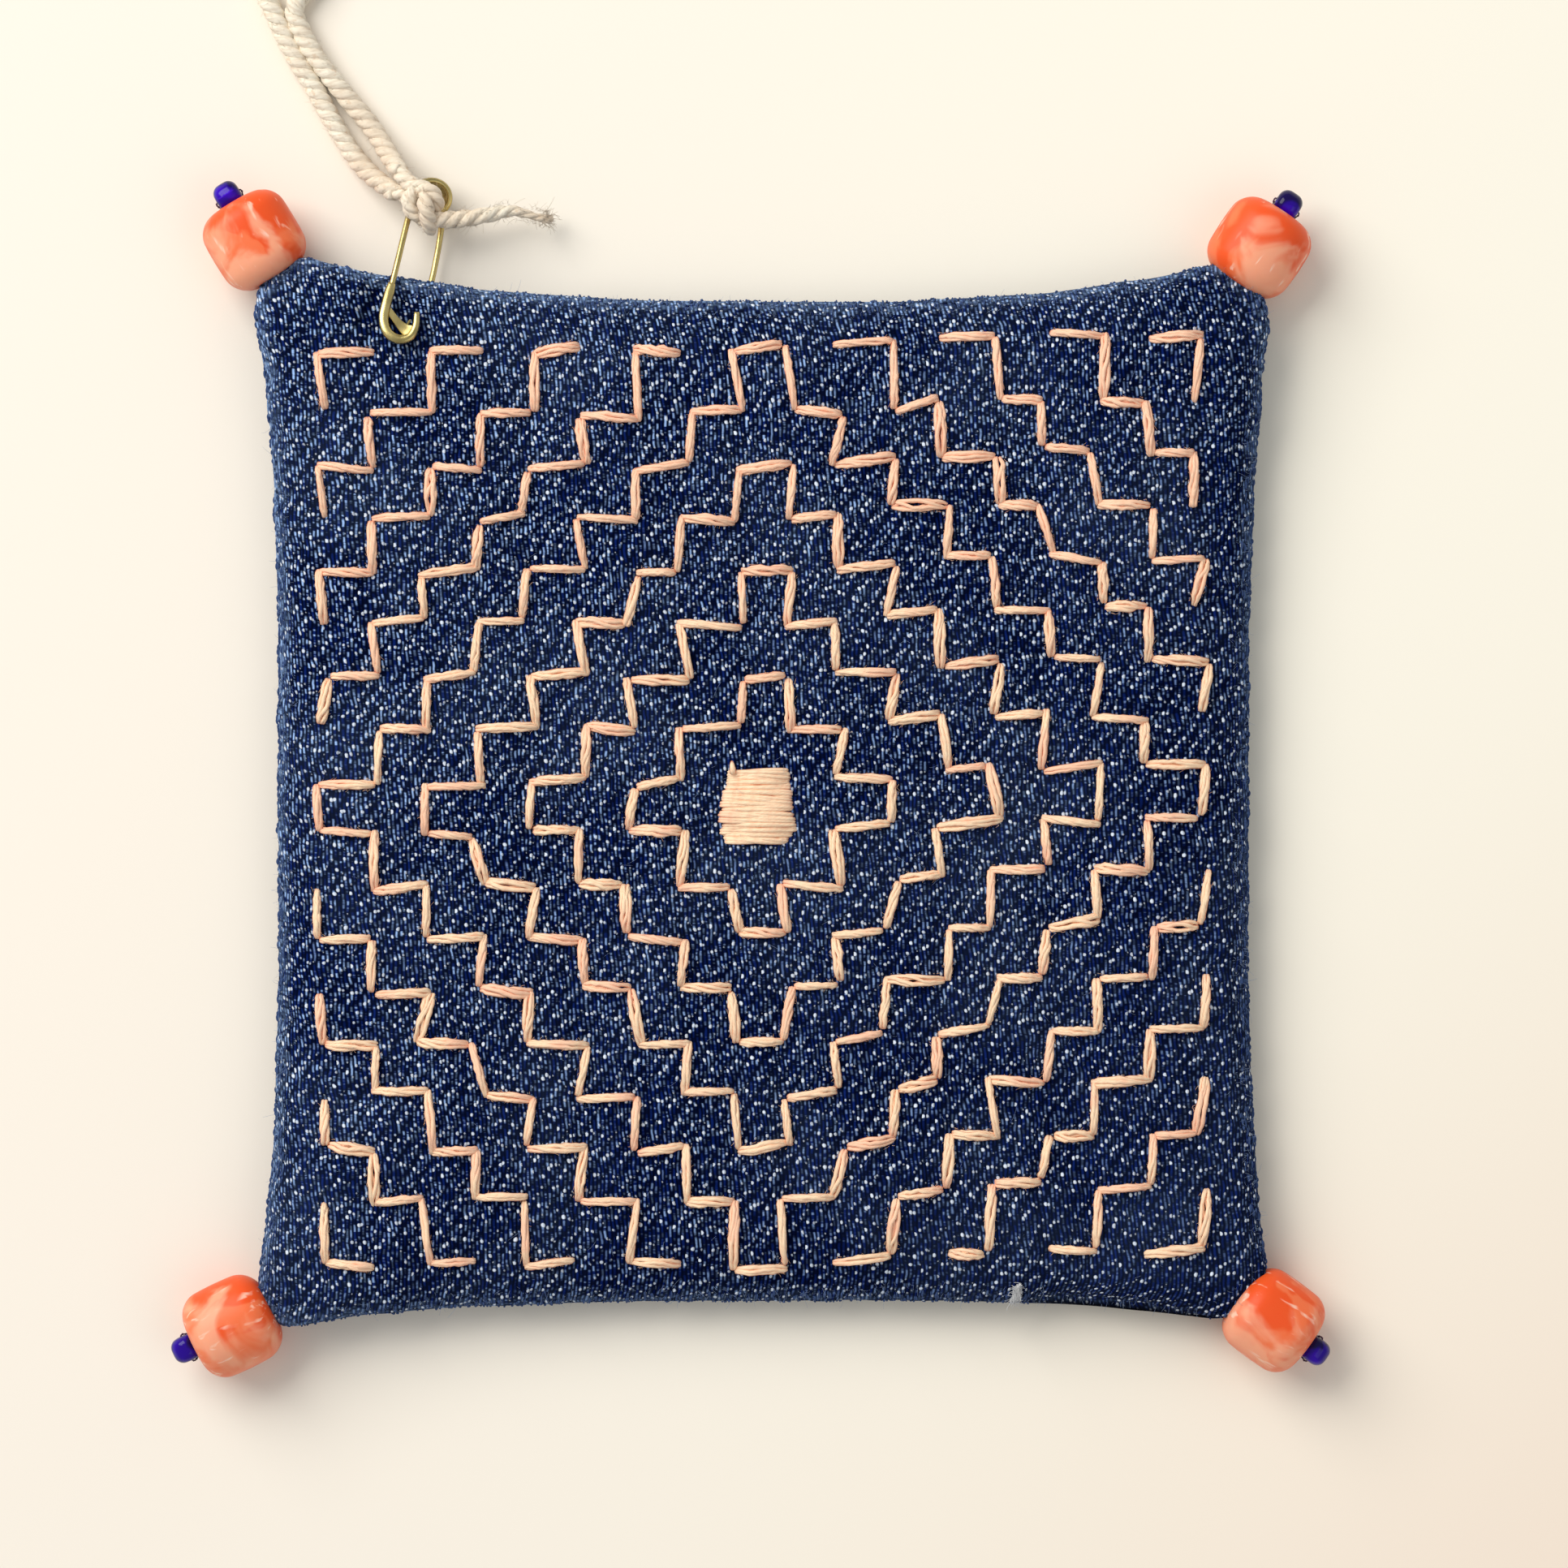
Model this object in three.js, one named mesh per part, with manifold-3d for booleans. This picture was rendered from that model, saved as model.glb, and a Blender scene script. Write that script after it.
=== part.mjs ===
// An embroidered denim coaster: a thin filled cushion of denim with drawn-in sides and round corner
// ears, a counted pattern of nested stepped diamonds in cotton floss, a satin-stitched middle, a barrel
// bead with a stop bead sewn to each corner, and a small brass safety pin through the back edge with a
// cotton tie knotted to its coil.
//
// Millimetres, +Z up. The coaster lies flat with its embroidered face up. The origin is on the surface
// that it lies on, under the middle of the cushion. +Y is the back edge, which holds the pin.

import * as THREE from "three";
import { mergeVertices } from "three/addons/utils/BufferGeometryUtils.js";
import Module from "manifold-3d";

const wasm = await Module();
wasm.setup();

// Driving sizes

const CLEARANCE = 0.3; // between neighbouring pieces

const PAD = {
  crown: 7.6, // height of the middle
  seam: 2.7, // height of the seam at the middle of a side
  earSeam: 4.1, // height of the seam at the tip of a corner ear
  nearRadius: 52, // the seam starts to rise where it is this far from the middle
  farRadius: 71,
  topFullness: 7, // how square the crown's section is
  topRound: 2.3,
  flatShare: 0.82, // the part of the underside that lies flat
  samples: 96, // points round the seam
  topShares: [0.994, 0.976, 0.945, 0.89, 0.81, 0.69, 0.5, 0.3, 0.12],
  undersideShares: [0.45, 0.82, 0.9, 0.95, 0.985],
};

// The corner ears, anticlockwise from the front left one: the middle and radius of each round ear, where
// its arc starts, and the barrel bead sewn to it.
const CORNERS = [
  { name: "front_left", x: -49, y: -50.8, radius: 3.8, arcFrom: 180, bead: { x: -55.6, y: -54.9, turn: 206 } },
  { name: "front_right", x: 46.8, y: -48.5, radius: 5.5, arcFrom: 270, bead: { x: 53.3, y: -54.3, turn: -36 } },
  { name: "back_right", x: 46.3, y: 49.5, radius: 6.3, arcFrom: 0, bead: { x: 51.8, y: 57.9, turn: 56 } },
  { name: "back_left", x: -47.9, y: 51.5, radius: 5.1, arcFrom: 90, bead: { x: -53.3, y: 58.7, turn: 121 } },
];

// The sides, each from the corner of the same row to the next one: how far its middle is drawn in, and
// how square that curve is.
const SIDES = [
  { name: "front", drawnIn: 2.1, power: 3.4 },
  { name: "right", drawnIn: 1.9, power: 3.0 },
  { name: "back", drawnIn: 4.0, power: 2.8 },
  { name: "left", drawnIn: 2.2, power: 3.6 },
];
const ARC_SHARES = [0.06, 0.28, 0.5, 0.72, 0.94];
const SIDE_SHARES = [0.07, 0.19, 0.35, 0.5, 0.65, 0.81, 0.93];

// The grid of stitch holes. Columns are counted from the left and rows from the back.
const GRID = {
  last: 17, // the number of the last column and row
  x: -0.2, // the middle of the grid
  y: -0.64,
  pitchX: 5.39,
  pitchY: 5.46,
  borderExtra: 1.35, // the outermost rows lie this much further out
  lift: 1.5, // the rows climb this much on the right half
  liftColumns: 5, // within this many columns of the middle
  waver: 0.28, // how far a hole lies off the even grid, made by hand
};
const RINGS = 4; // whole diamonds round the middle
const CORNER_STAIRS = 4; // stepped lines in each corner
const STITCH = {
  lift: 0.36, // above the cloth
  halfWidth: 0.76,
  height: 0.8,
  pinchedWidth: 0.36, // at a hole
  pinchedHeight: 0.42,
  shoulder: 0.2, // the share of a stitch's length in which it widens
};

const SATIN = {
  stitches: 12,
  x: -0.7, // its middle line
  backY: 3.6,
  frontY: -4.5,
  backHalf: 3.0, // half its width at the back and at the front
  frontHalf: 3.85,
  height: 1.2,
  groove: 0.3, // how much of the height is lost between two stitches
  endHeight: 0.4,
};

const BARREL = { length: 8.9, diameter: 9.4, rest: 0.02, faceRadius: 2.9 };
const BORE = { radius: 1.25, mouthRadius: 2.05, mouthDepth: 1 };
const BARREL_CROWN = [
  { radiusShare: 0.8, lengthShare: 0.94 },
  { radiusShare: 0.91, lengthShare: 0.76 },
  { radiusShare: 0.975, lengthShare: 0.42 },
  { radiusShare: 1, lengthShare: 0 },
];
const STOP_BEAD = { radius: 1.52, halfLength: 1.0, bore: 0.65, seat: 1.3 };
const THREAD = { radius: 0.18, spread: 0.35, turnOut: 1.65, depth: 3, room: 0.6 };

// The safety pin, measured along it from the middle of its coil, across it, and up.
const PIN = { x: -35.2, y: 63.2, endX: -37.9, endY: 47.8, wire: 0.33, sides: 7, steps: 64, lengths: 4 };
const COIL = { radius: 1.6, turns: 1.5, pitch: 0.95, height: 1.9, tilt: 0.25, points: 18 };
const NEEDLE = [
  { along: 14.3, across: 0.1, up: 6.98 },
  { along: 13.3, across: 0.45, up: 6.3 },
  { along: 12.2, across: 0.95, up: 5.3 },
  { along: 10.9, across: 1.4, up: 3.9 },
  { along: 9.5, across: 1.68, up: 2.6 },
  { along: 7.0, across: 1.8, up: 1.75 },
  { along: 3.5, across: 1.8, up: 1.5 },
];
const FIXED_ARM = [
  { along: 1.6, across: -1.63, up: 4.0 },
  { along: 4.0, across: -1.72, up: 5.0 },
  { along: 7.0, across: -1.82, up: 6.1 },
  { along: 9.2, across: -1.95, up: 6.55 },
];

// The clasp: a band bent into a hook, from the end of the fixed arm round to its tip, and the web in it.
const CLASP_BAND = [
  { along: 9.75, across: -1.97, up: 6.75 },
  { along: 11.8, across: -2.15, up: 7.25 },
  { along: 13.5, across: -2.15, up: 7.55 },
  { along: 14.8, across: -1.5, up: 7.78 },
  { along: 15.35, across: -0.25, up: 7.84 },
  { along: 14.9, across: 0.9, up: 7.78 },
  { along: 13.7, across: 1.3, up: 7.55 },
  { along: 12.2, across: 1.15, up: 7.3 },
];
const CLASP = { bandHalfWidth: 0.48, bandHalfHeight: 0.52, steps: 16 };
const WEB = { thickness: 0.35, up: 7.6 };
const WEB_CORNERS = [
  { along: 11.9, across: -2.1 },
  { along: 13.6, across: -2.1 },
  { along: 14.7, across: 0.8 },
  { along: 13.6, across: 1.25 },
];

// The cotton tie: the line of the doubled cord from the knot, out past the left and back, then the knot's
// lumps and the free end.
const TIE = { radius: 1.0, steps: 40, sides: 8 };
const TIE_ROUTE = [
  [-38.6, 63.7, 3.1],
  [-40.2, 64.9, 2.2],
  [-42.0, 66.5, 1.4],
  [-43.8, 68.9, 1.08],
  [-45.6, 71.9, 1.06],
  [-47.5, 75.1, 1.06],
  [-49.3, 78.0, 1.06],
  [-50.7, 80.7, 1.06],
  [-51.9, 83.4, 1.06],
  [-53.1, 86.4, 1.06],
  [-53.6, 89.6, 1.06],
  [-52.4, 92.7, 1.06],
  [-49.5, 94.2, 1.06],
  [-46.5, 92.9, 1.06],
  [-45.5, 89.9, 1.06],
  [-46.9, 86.6, 1.06],
  [-48.7, 83.5, 1.06],
  [-47.7, 80.5, 1.06],
  [-46.2, 78.0, 1.06],
  [-44.5, 75.6, 1.06],
  [-42.8, 73.1, 1.06],
  [-41.0, 70.5, 1.3],
  [-39.5, 68.0, 2.2],
  [-38.2, 65.9, 3.7],
];
const KNOT_LUMPS = [
  { x: -36.5, y: 63.0, z: 4.0, radius: 1.35 },
  { x: -34.8, y: 63.3, z: 4.9, radius: 1.45 },
  { x: -35.2, y: 62.9, z: 2.9, radius: 1.2 },
  { x: -34.3, y: 61.2, z: 5.0, radius: 1.5 },
  { x: -34.9, y: 59.8, z: 4.1, radius: 1.2 },
  { x: -36.1, y: 61.3, z: 4.7, radius: 1.2 },
];
const FREE_END = [
  { x: -33.6, y: 60.9, z: 4.8, radius: 1.05 },
  { x: -31.4, y: 61.0, z: 4.3, radius: 1.0 },
  { x: -28.6, y: 61.5, z: 3.7, radius: 0.9 },
  { x: -26.3, y: 61.9, z: 3.2, radius: 0.7 },
  { x: -24.2, y: 61.4, z: 2.7, radius: 0.5 },
  { x: -22.9, y: 61.1, z: 2.4, radius: 0.75 },
  { x: -21.9, y: 61.3, z: 2.2, radius: 0.4 },
];

// Finishes

const FINISH = {
  denim: new THREE.MeshStandardMaterial({ name: "denim", color: 0x24365a, roughness: 0.92 }),
  floss: new THREE.MeshStandardMaterial({ name: "floss", color: 0xf2ab7e, roughness: 0.7 }),
  orangeGlass: new THREE.MeshStandardMaterial({ name: "orange_glass", color: 0xee6a35, roughness: 0.18 }),
  blueGlass: new THREE.MeshStandardMaterial({ name: "blue_glass", color: 0x1c0a86, roughness: 0.1 }),
  thread: new THREE.MeshStandardMaterial({ name: "sewing_thread", color: 0x35173a, roughness: 0.8 }),
  brass: new THREE.MeshStandardMaterial({ name: "brass", color: 0xcdb063, roughness: 0.3, metalness: 1 }),
  cotton: new THREE.MeshStandardMaterial({ name: "cotton_cord", color: 0xd9cfbf, roughness: 0.9 }),
};

// Meshes and solids

const radians = THREE.MathUtils.degToRad;

function geometryFrom(points, triangles) {
  const geometry = new THREE.BufferGeometry();
  const numbers = points.flatMap((p) => [p.x, p.y, p.z]);
  geometry.setAttribute("position", new THREE.Float32BufferAttribute(numbers, 3));
  geometry.setIndex(triangles);
  geometry.computeVertexNormals();
  return geometry;
}

function middleOf(points) {
  return points.reduce((sum, p) => sum.add(p), new THREE.Vector3()).divideScalar(points.length);
}

// A closed skin over rings of points. Each ring runs anticlockwise about the way the rings are followed.
// A looped skin joins its last ring to its first, and any other is closed by a pole at each end.
function skin(rings, { looped = false, firstPole = null, lastPole = null } = {}) {
  const count = rings[0].length;
  const points = rings.flat();
  const triangles = [];
  const spans = looped ? rings.length : rings.length - 1;
  for (let i = 0; i < spans; i++) {
    const near = i * count;
    const far = ((i + 1) % rings.length) * count;
    for (let k = 0; k < count; k++) {
      const next = (k + 1) % count;
      triangles.push(near + k, near + next, far + k);
      triangles.push(near + next, far + next, far + k);
    }
  }
  if (!looped) {
    const first = points.push(firstPole ?? middleOf(rings[0])) - 1;
    const last = points.push(lastPole ?? middleOf(rings[rings.length - 1])) - 1;
    const lastRing = (rings.length - 1) * count;
    for (let k = 0; k < count; k++) {
      const next = (k + 1) % count;
      triangles.push(first, next, k);
      triangles.push(last, lastRing + k, lastRing + next);
    }
  }
  return geometryFrom(points, triangles);
}

function solidOf(geometry) {
  const bare = new THREE.BufferGeometry();
  bare.setAttribute("position", geometry.getAttribute("position").clone());
  if (geometry.index) bare.setIndex(geometry.index.clone());
  const merged = mergeVertices(bare, 1e-3);
  const vertProperties = new Float32Array(merged.attributes.position.array);
  const triVerts = new Uint32Array(merged.index.array);
  return new wasm.Manifold(new wasm.Mesh({ numProp: 3, vertProperties, triVerts }));
}

function geometryOf(solid) {
  const mesh = solid.getMesh();
  const points = [];
  for (let i = 0; i < mesh.numVert; i++) {
    points.push(new THREE.Vector3().fromArray(mesh.vertProperties, i * mesh.numProp));
  }
  return geometryFrom(points, [...mesh.triVerts]);
}

function meshOf(name, geometry, material) {
  const mesh = new THREE.Mesh(geometry, material);
  mesh.name = name;
  return mesh;
}

function roundShape(halfWidth, halfHeight, sides) {
  const points = [];
  for (let k = 0; k < sides; k++) {
    const angle = (2 * Math.PI * k) / sides;
    points.push(new THREE.Vector2(halfWidth * Math.cos(angle), halfHeight * Math.sin(angle)));
  }
  return new THREE.Shape(points);
}

function tube(curve, radius, sides, steps) {
  return new THREE.ExtrudeGeometry(roundShape(radius, radius, sides), { extrudePath: curve, steps });
}

// A tube whose radius changes, along rows of x, y, z and radius.
function taperedTube(rows, sides) {
  const curve = new THREE.CatmullRomCurve3(rows.map((row) => new THREE.Vector3(row.x, row.y, row.z)));
  const frames = curve.computeFrenetFrames(rows.length - 1, false);
  return skin(
    rows.map((row, i) => {
      const ring = [];
      for (let k = 0; k < sides; k++) {
        const angle = (2 * Math.PI * k) / sides;
        const point = new THREE.Vector3(row.x, row.y, row.z);
        point.addScaledVector(frames.normals[i], row.radius * Math.cos(angle));
        point.addScaledVector(frames.binormals[i], row.radius * Math.sin(angle));
        ring.push(point);
      }
      return ring;
    }),
  );
}

// A steady number from -1 to 1 for each pair of counts, so that the hand stitching wavers.
function waver(i, j) {
  const big = Math.sin(i * 127.1 + j * 311.7) * 43758.5453;
  return 2 * (big - Math.floor(big)) - 1;
}

// The cushion

function seamOutline() {
  const points = [];
  CORNERS.forEach((corner, i) => {
    const next = CORNERS[(i + 1) % CORNERS.length];
    const side = SIDES[i];
    for (const share of ARC_SHARES) {
      const angle = radians(corner.arcFrom + 90 * share);
      const x = corner.x + corner.radius * Math.cos(angle);
      const y = corner.y + corner.radius * Math.sin(angle);
      points.push(new THREE.Vector3(x, y, 0));
    }
    const facing = radians(corner.arcFrom + 90);
    const outward = new THREE.Vector3(Math.cos(facing), Math.sin(facing), 0);
    const from = new THREE.Vector3(corner.x, corner.y, 0).addScaledVector(outward, corner.radius);
    const to = new THREE.Vector3(next.x, next.y, 0).addScaledVector(outward, next.radius);
    for (const share of SIDE_SHARES) {
      const depth = side.drawnIn * (1 - Math.abs(2 * share - 1) ** side.power);
      points.push(from.clone().lerp(to, share).addScaledVector(outward, -depth));
    }
  });
  const curve = new THREE.CatmullRomCurve3(points, true, "centripetal");
  return Array.from({ length: PAD.samples }, (_, k) => curve.getPoint(k / PAD.samples));
}

const outline = seamOutline();

function seamHeight(distance) {
  const rise = THREE.MathUtils.clamp((distance - PAD.nearRadius) / (PAD.farRadius - PAD.nearRadius), 0, 1);
  return PAD.seam + (PAD.earSeam - PAD.seam) * rise;
}

// The distance from the middle to the seam, in the direction of a point.
function seamDistance(x, y) {
  const far = Math.hypot(x, y);
  if (far < 1e-6) return PAD.nearRadius;
  const ux = x / far;
  const uy = y / far;
  for (let k = 0; k < outline.length; k++) {
    const p = outline[k];
    const q = outline[(k + 1) % outline.length];
    const before = ux * p.y - uy * p.x;
    const after = ux * q.y - uy * q.x;
    if (before <= 0 && after > 0 && ux * p.x + uy * p.y > 0) {
      const share = before / (before - after);
      return Math.hypot(p.x + (q.x - p.x) * share, p.y + (q.y - p.y) * share);
    }
  }
  return PAD.nearRadius;
}

function topAt(share, distance) {
  const seam = seamHeight(distance);
  return seam + (PAD.crown - seam) * (1 - share ** PAD.topFullness) ** (1 / PAD.topRound);
}

function undersideAt(share, distance) {
  const out = Math.max(0, (share - PAD.flatShare) / (1 - PAD.flatShare));
  return seamHeight(distance) * (1 - Math.sqrt(Math.max(0, 1 - out * out)));
}

// The height of the embroidered face over a point.
function faceHeight(x, y) {
  const distance = seamDistance(x, y);
  return topAt(Math.min(1, Math.hypot(x, y) / distance), distance);
}

function padRing(share, heightAt) {
  return outline.map((p) => new THREE.Vector3(p.x * share, p.y * share, heightAt(share, Math.hypot(p.x, p.y))));
}

function padGeometry(cuts) {
  const rings = [
    ...PAD.undersideShares.map((share) => padRing(share, undersideAt)),
    padRing(1, topAt),
    ...PAD.topShares.map((share) => padRing(share, topAt)),
  ];
  const firstPole = new THREE.Vector3(0, 0, 0);
  const lastPole = new THREE.Vector3(0, 0, PAD.crown);
  let solid = solidOf(skin(rings, { firstPole, lastPole }));
  for (const cut of cuts) solid = solid.subtract(cut);
  return geometryOf(solid);
}

// The embroidery

function hole([column, row]) {
  const across = column - GRID.last / 2;
  const along = GRID.last / 2 - row;
  const climb = THREE.MathUtils.smoothstep(across, 0, GRID.liftColumns) * GRID.lift;
  const border = row === 0 || row === GRID.last ? Math.sign(along) * GRID.borderExtra : 0;
  const x = GRID.x + across * GRID.pitchX + waver(column, row) * GRID.waver;
  const y = GRID.y + along * GRID.pitchY + border + climb + waver(row + 40, column) * GRID.waver;
  return new THREE.Vector2(x, y);
}

// Holes of a stepped line, from one hole, stepping up and right in turn.
function stair(column, row, steps, upFirst) {
  const holes = [[column, row]];
  for (let i = 0; i < steps; i++) {
    if ((i % 2 === 0) === upFirst) row -= 1;
    else column += 1;
    holes.push([column, row]);
  }
  return holes;
}

const acrossGrid = ([column, row]) => [GRID.last - column, row];
const alongGrid = ([column, row]) => [column, GRID.last - row];

// The holes of a whole diamond, four stairs joined end to end.
function diamond(ring) {
  const middle = Math.floor(GRID.last / 2);
  const quarter = stair(middle - 2 * ring, middle, 4 * ring, false);
  return [
    ...quarter,
    ...quarter.map(acrossGrid).reverse(),
    ...quarter.map(acrossGrid).map(alongGrid),
    ...quarter.map(alongGrid).reverse(),
  ];
}

// One station of a line of stitches: its bottom follows the cloth and its top is a ridge.
function stitchSection(at, side, halfWidth, height) {
  const left = at.clone().addScaledVector(side, halfWidth);
  const right = at.clone().addScaledVector(side, -halfWidth);
  return [
    new THREE.Vector3(left.x, left.y, faceHeight(left.x, left.y) + STITCH.lift),
    new THREE.Vector3(at.x, at.y, faceHeight(at.x, at.y) + STITCH.lift + height),
    new THREE.Vector3(right.x, right.y, faceHeight(right.x, right.y) + STITCH.lift),
  ];
}

// Stitches from hole to hole, each full in its middle and drawn in at the holes.
function stitchLine(holes, looped) {
  const points = holes.map(hole);
  const count = points.length;
  const directions = points.map((p, i) => points[(i + 1) % count].clone().sub(p).normalize());
  const sideOf = (direction) => new THREE.Vector2(-direction.y, direction.x);
  const sections = [];
  points.forEach((point, i) => {
    const isLast = !looped && i === count - 1;
    const isFirst = !looped && i === 0;
    const before = directions[isFirst ? i : (i + count - 1) % count];
    const after = isLast ? before : directions[i];
    const mitre = sideOf(before).add(sideOf(after)).normalize();
    const spread = STITCH.pinchedWidth / mitre.dot(sideOf(before));
    sections.push(stitchSection(point, mitre, spread, STITCH.pinchedHeight));
    if (isLast) return;
    const next = points[(i + 1) % count];
    for (const share of [STITCH.shoulder, 1 - STITCH.shoulder]) {
      const at = point.clone().lerp(next, share);
      sections.push(stitchSection(at, sideOf(after), STITCH.halfWidth, STITCH.height));
    }
  });
  return skin(sections, { looped });
}

function satinGeometry() {
  const widthShares = [0, 0.1, 0.35, 0.65, 0.9, 1];
  const heightShares = [0.12, 0.78, 1, 1, 0.78, 0.12];
  const rows = 2 * SATIN.stitches;
  const rings = widthShares.map((widthShare, i) => {
    const ring = [];
    for (let row = 0; row <= rows; row++) {
      const share = row / rows;
      const y = THREE.MathUtils.lerp(SATIN.frontY, SATIN.backY, share);
      const half = THREE.MathUtils.lerp(SATIN.frontHalf, SATIN.backHalf, share);
      const x = SATIN.x + half * (2 * widthShare - 1);
      const ridge = row % 2 === 1 || heightShares[i] < 0.5 ? 1 : 1 - SATIN.groove;
      const edge = row === 0 || row === rows ? SATIN.endHeight : 1;
      const height = SATIN.height * heightShares[i] * Math.min(ridge, edge);
      ring.push(new THREE.Vector3(x, y, faceHeight(x, y) + CLEARANCE + height));
    }
    const back = ring[rows];
    const front = ring[0];
    ring.push(new THREE.Vector3(back.x, back.y, faceHeight(back.x, back.y) + CLEARANCE));
    ring.push(new THREE.Vector3(front.x, front.y, faceHeight(front.x, front.y) + CLEARANCE));
    return ring.reverse();
  });
  return skin(rings);
}

function embroidery() {
  const group = new THREE.Group();
  for (let ring = 1; ring <= RINGS; ring++) {
    group.add(meshOf(`floss_diamond_${ring}`, stitchLine(diamond(ring), true), FINISH.floss));
  }
  const mirrors = {
    back_left: [],
    back_right: [acrossGrid],
    front_right: [acrossGrid, alongGrid],
    front_left: [alongGrid],
  };
  for (const [corner, turns] of Object.entries(mirrors)) {
    for (let step = 0; step < CORNER_STAIRS; step++) {
      let holes = stair(0, 2 * step + 1, 4 * step + 2, true);
      for (const turn of turns) holes = holes.map(turn);
      group.add(meshOf(`floss_${corner}_${step + 1}`, stitchLine(holes, false), FINISH.floss));
    }
  }
  group.add(meshOf("floss_satin_middle", satinGeometry(), FINISH.floss));
  return group;
}

// The corner beads

// The outside of a barrel bead, from the rim of one face to the rim of the other.
function barrelProfile(grow) {
  const half = BARREL.length / 2 + grow;
  const radius = BARREL.diameter / 2;
  const crown = BARREL_CROWN.map(({ radiusShare, lengthShare }) => {
    return new THREE.Vector2(radius * radiusShare + grow, half * lengthShare);
  });
  const oneEnd = [new THREE.Vector2(BARREL.faceRadius, half), ...crown];
  const otherEnd = oneEnd.slice(0, -1).map((p) => new THREE.Vector2(p.x, -p.y));
  return [...oneEnd, ...otherEnd.reverse()];
}

function barrelGeometry() {
  const half = BARREL.length / 2;
  const throat = half - BORE.mouthDepth;
  const profile = [
    new THREE.Vector2(BORE.radius, -throat),
    new THREE.Vector2(BORE.radius, throat),
    new THREE.Vector2(BORE.mouthRadius, half),
    ...barrelProfile(0),
    new THREE.Vector2(BORE.mouthRadius, -half),
    new THREE.Vector2(BORE.radius, -throat),
  ];
  return new THREE.LatheGeometry(profile.reverse(), 16);
}

function stopBeadGeometry() {
  const { radius, halfLength, bore } = STOP_BEAD;
  const profile = [
    new THREE.Vector2(bore, -halfLength * 0.8),
    new THREE.Vector2(bore, halfLength * 0.8),
    new THREE.Vector2((bore + radius) / 2, halfLength),
    new THREE.Vector2(radius * 0.92, halfLength * 0.6),
    new THREE.Vector2(radius, 0),
    new THREE.Vector2(radius * 0.92, -halfLength * 0.6),
    new THREE.Vector2((bore + radius) / 2, -halfLength),
    new THREE.Vector2(bore, -halfLength * 0.8),
  ];
  return new THREE.LatheGeometry(profile.reverse(), 12);
}

// The doubled thread, in a frame with the bead's hole along Y: out of the ear, through the barrel, round
// through the stop bead and back.
function threadGeometry() {
  const half = BARREL.length / 2;
  const seat = half + STOP_BEAD.seat;
  const start = -half - THREAD.depth;
  const oneWay = [
    [THREAD.spread, start],
    [THREAD.spread, 0],
    [THREAD.spread * 1.6, half - 1.1],
    [THREAD.turnOut - 0.15, half + 0.25],
    [THREAD.turnOut, seat - 0.25],
    [THREAD.turnOut - 0.25, seat],
    [0.5, seat],
  ];
  const points = [...oneWay, ...oneWay.map(([x, y]) => [-x, y]).reverse()];
  const route = points.map(([x, y]) => new THREE.Vector3(x, y, 0));
  return tube(new THREE.CatmullRomCurve3(route, false, "centripetal"), THREAD.radius, 5, 24);
}

// A frame at a corner whose Y runs out along the bead's hole.
function beadFrame(corner) {
  const frame = new THREE.Group();
  frame.position.set(corner.bead.x, corner.bead.y, BARREL.diameter / 2 + BARREL.rest);
  frame.rotation.z = radians(corner.bead.turn - 90);
  frame.updateMatrix();
  return frame;
}

function cornerBeads(corner) {
  const frame = beadFrame(corner);
  frame.add(meshOf(`barrel_bead_${corner.name}`, barrelGeometry(), FINISH.orangeGlass));
  const stopBead = meshOf(`stop_bead_${corner.name}`, stopBeadGeometry(), FINISH.blueGlass);
  stopBead.position.y = BARREL.length / 2 + STOP_BEAD.seat;
  stopBead.rotation.z = Math.PI / 2;
  frame.add(stopBead);
  frame.add(meshOf(`bead_thread_${corner.name}`, threadGeometry(), FINISH.thread));
  return frame;
}

// What a corner's bead and thread press out of the ear.
function earCut(corner) {
  const frame = beadFrame(corner);
  const half = BARREL.length / 2;
  const ends = [half + CLEARANCE, -half - CLEARANCE].map((y) => new THREE.Vector2(0, y));
  const dent = new THREE.LatheGeometry([ends[0], ...barrelProfile(CLEARANCE), ends[1]].reverse(), 16);
  const pocketLength = THREAD.depth + 1;
  const pocketRadius = THREAD.spread + THREAD.room;
  const pocket = new THREE.CylinderGeometry(pocketRadius, pocketRadius, pocketLength, 8);
  pocket.translate(0, 0.5 - half - pocketLength / 2, 0);
  return [dent, pocket].map((geometry) => solidOf(geometry.applyMatrix4(frame.matrix)));
}

// The safety pin

function pinPoint({ along, across, up }) {
  const length = Math.hypot(PIN.endX - PIN.x, PIN.endY - PIN.y);
  const dx = (PIN.endX - PIN.x) / length;
  const dy = (PIN.endY - PIN.y) / length;
  return new THREE.Vector3(PIN.x + along * dx - across * dy, PIN.y + along * dy + across * dx, up);
}

function coilPoints() {
  const points = [];
  for (let k = 0; k <= COIL.points; k++) {
    const turned = (k / COIL.points) * COIL.turns;
    const angle = 2 * Math.PI * turned;
    const across = COIL.radius * Math.cos(angle);
    const up = COIL.height - COIL.tilt * across + COIL.pitch * turned;
    points.push({ along: -COIL.radius * Math.sin(angle), across, up });
  }
  return points;
}

function pinCurve() {
  const points = [...NEEDLE, ...coilPoints(), ...FIXED_ARM].map(pinPoint);
  return new THREE.CatmullRomCurve3(points, false, "centripetal");
}

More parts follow.
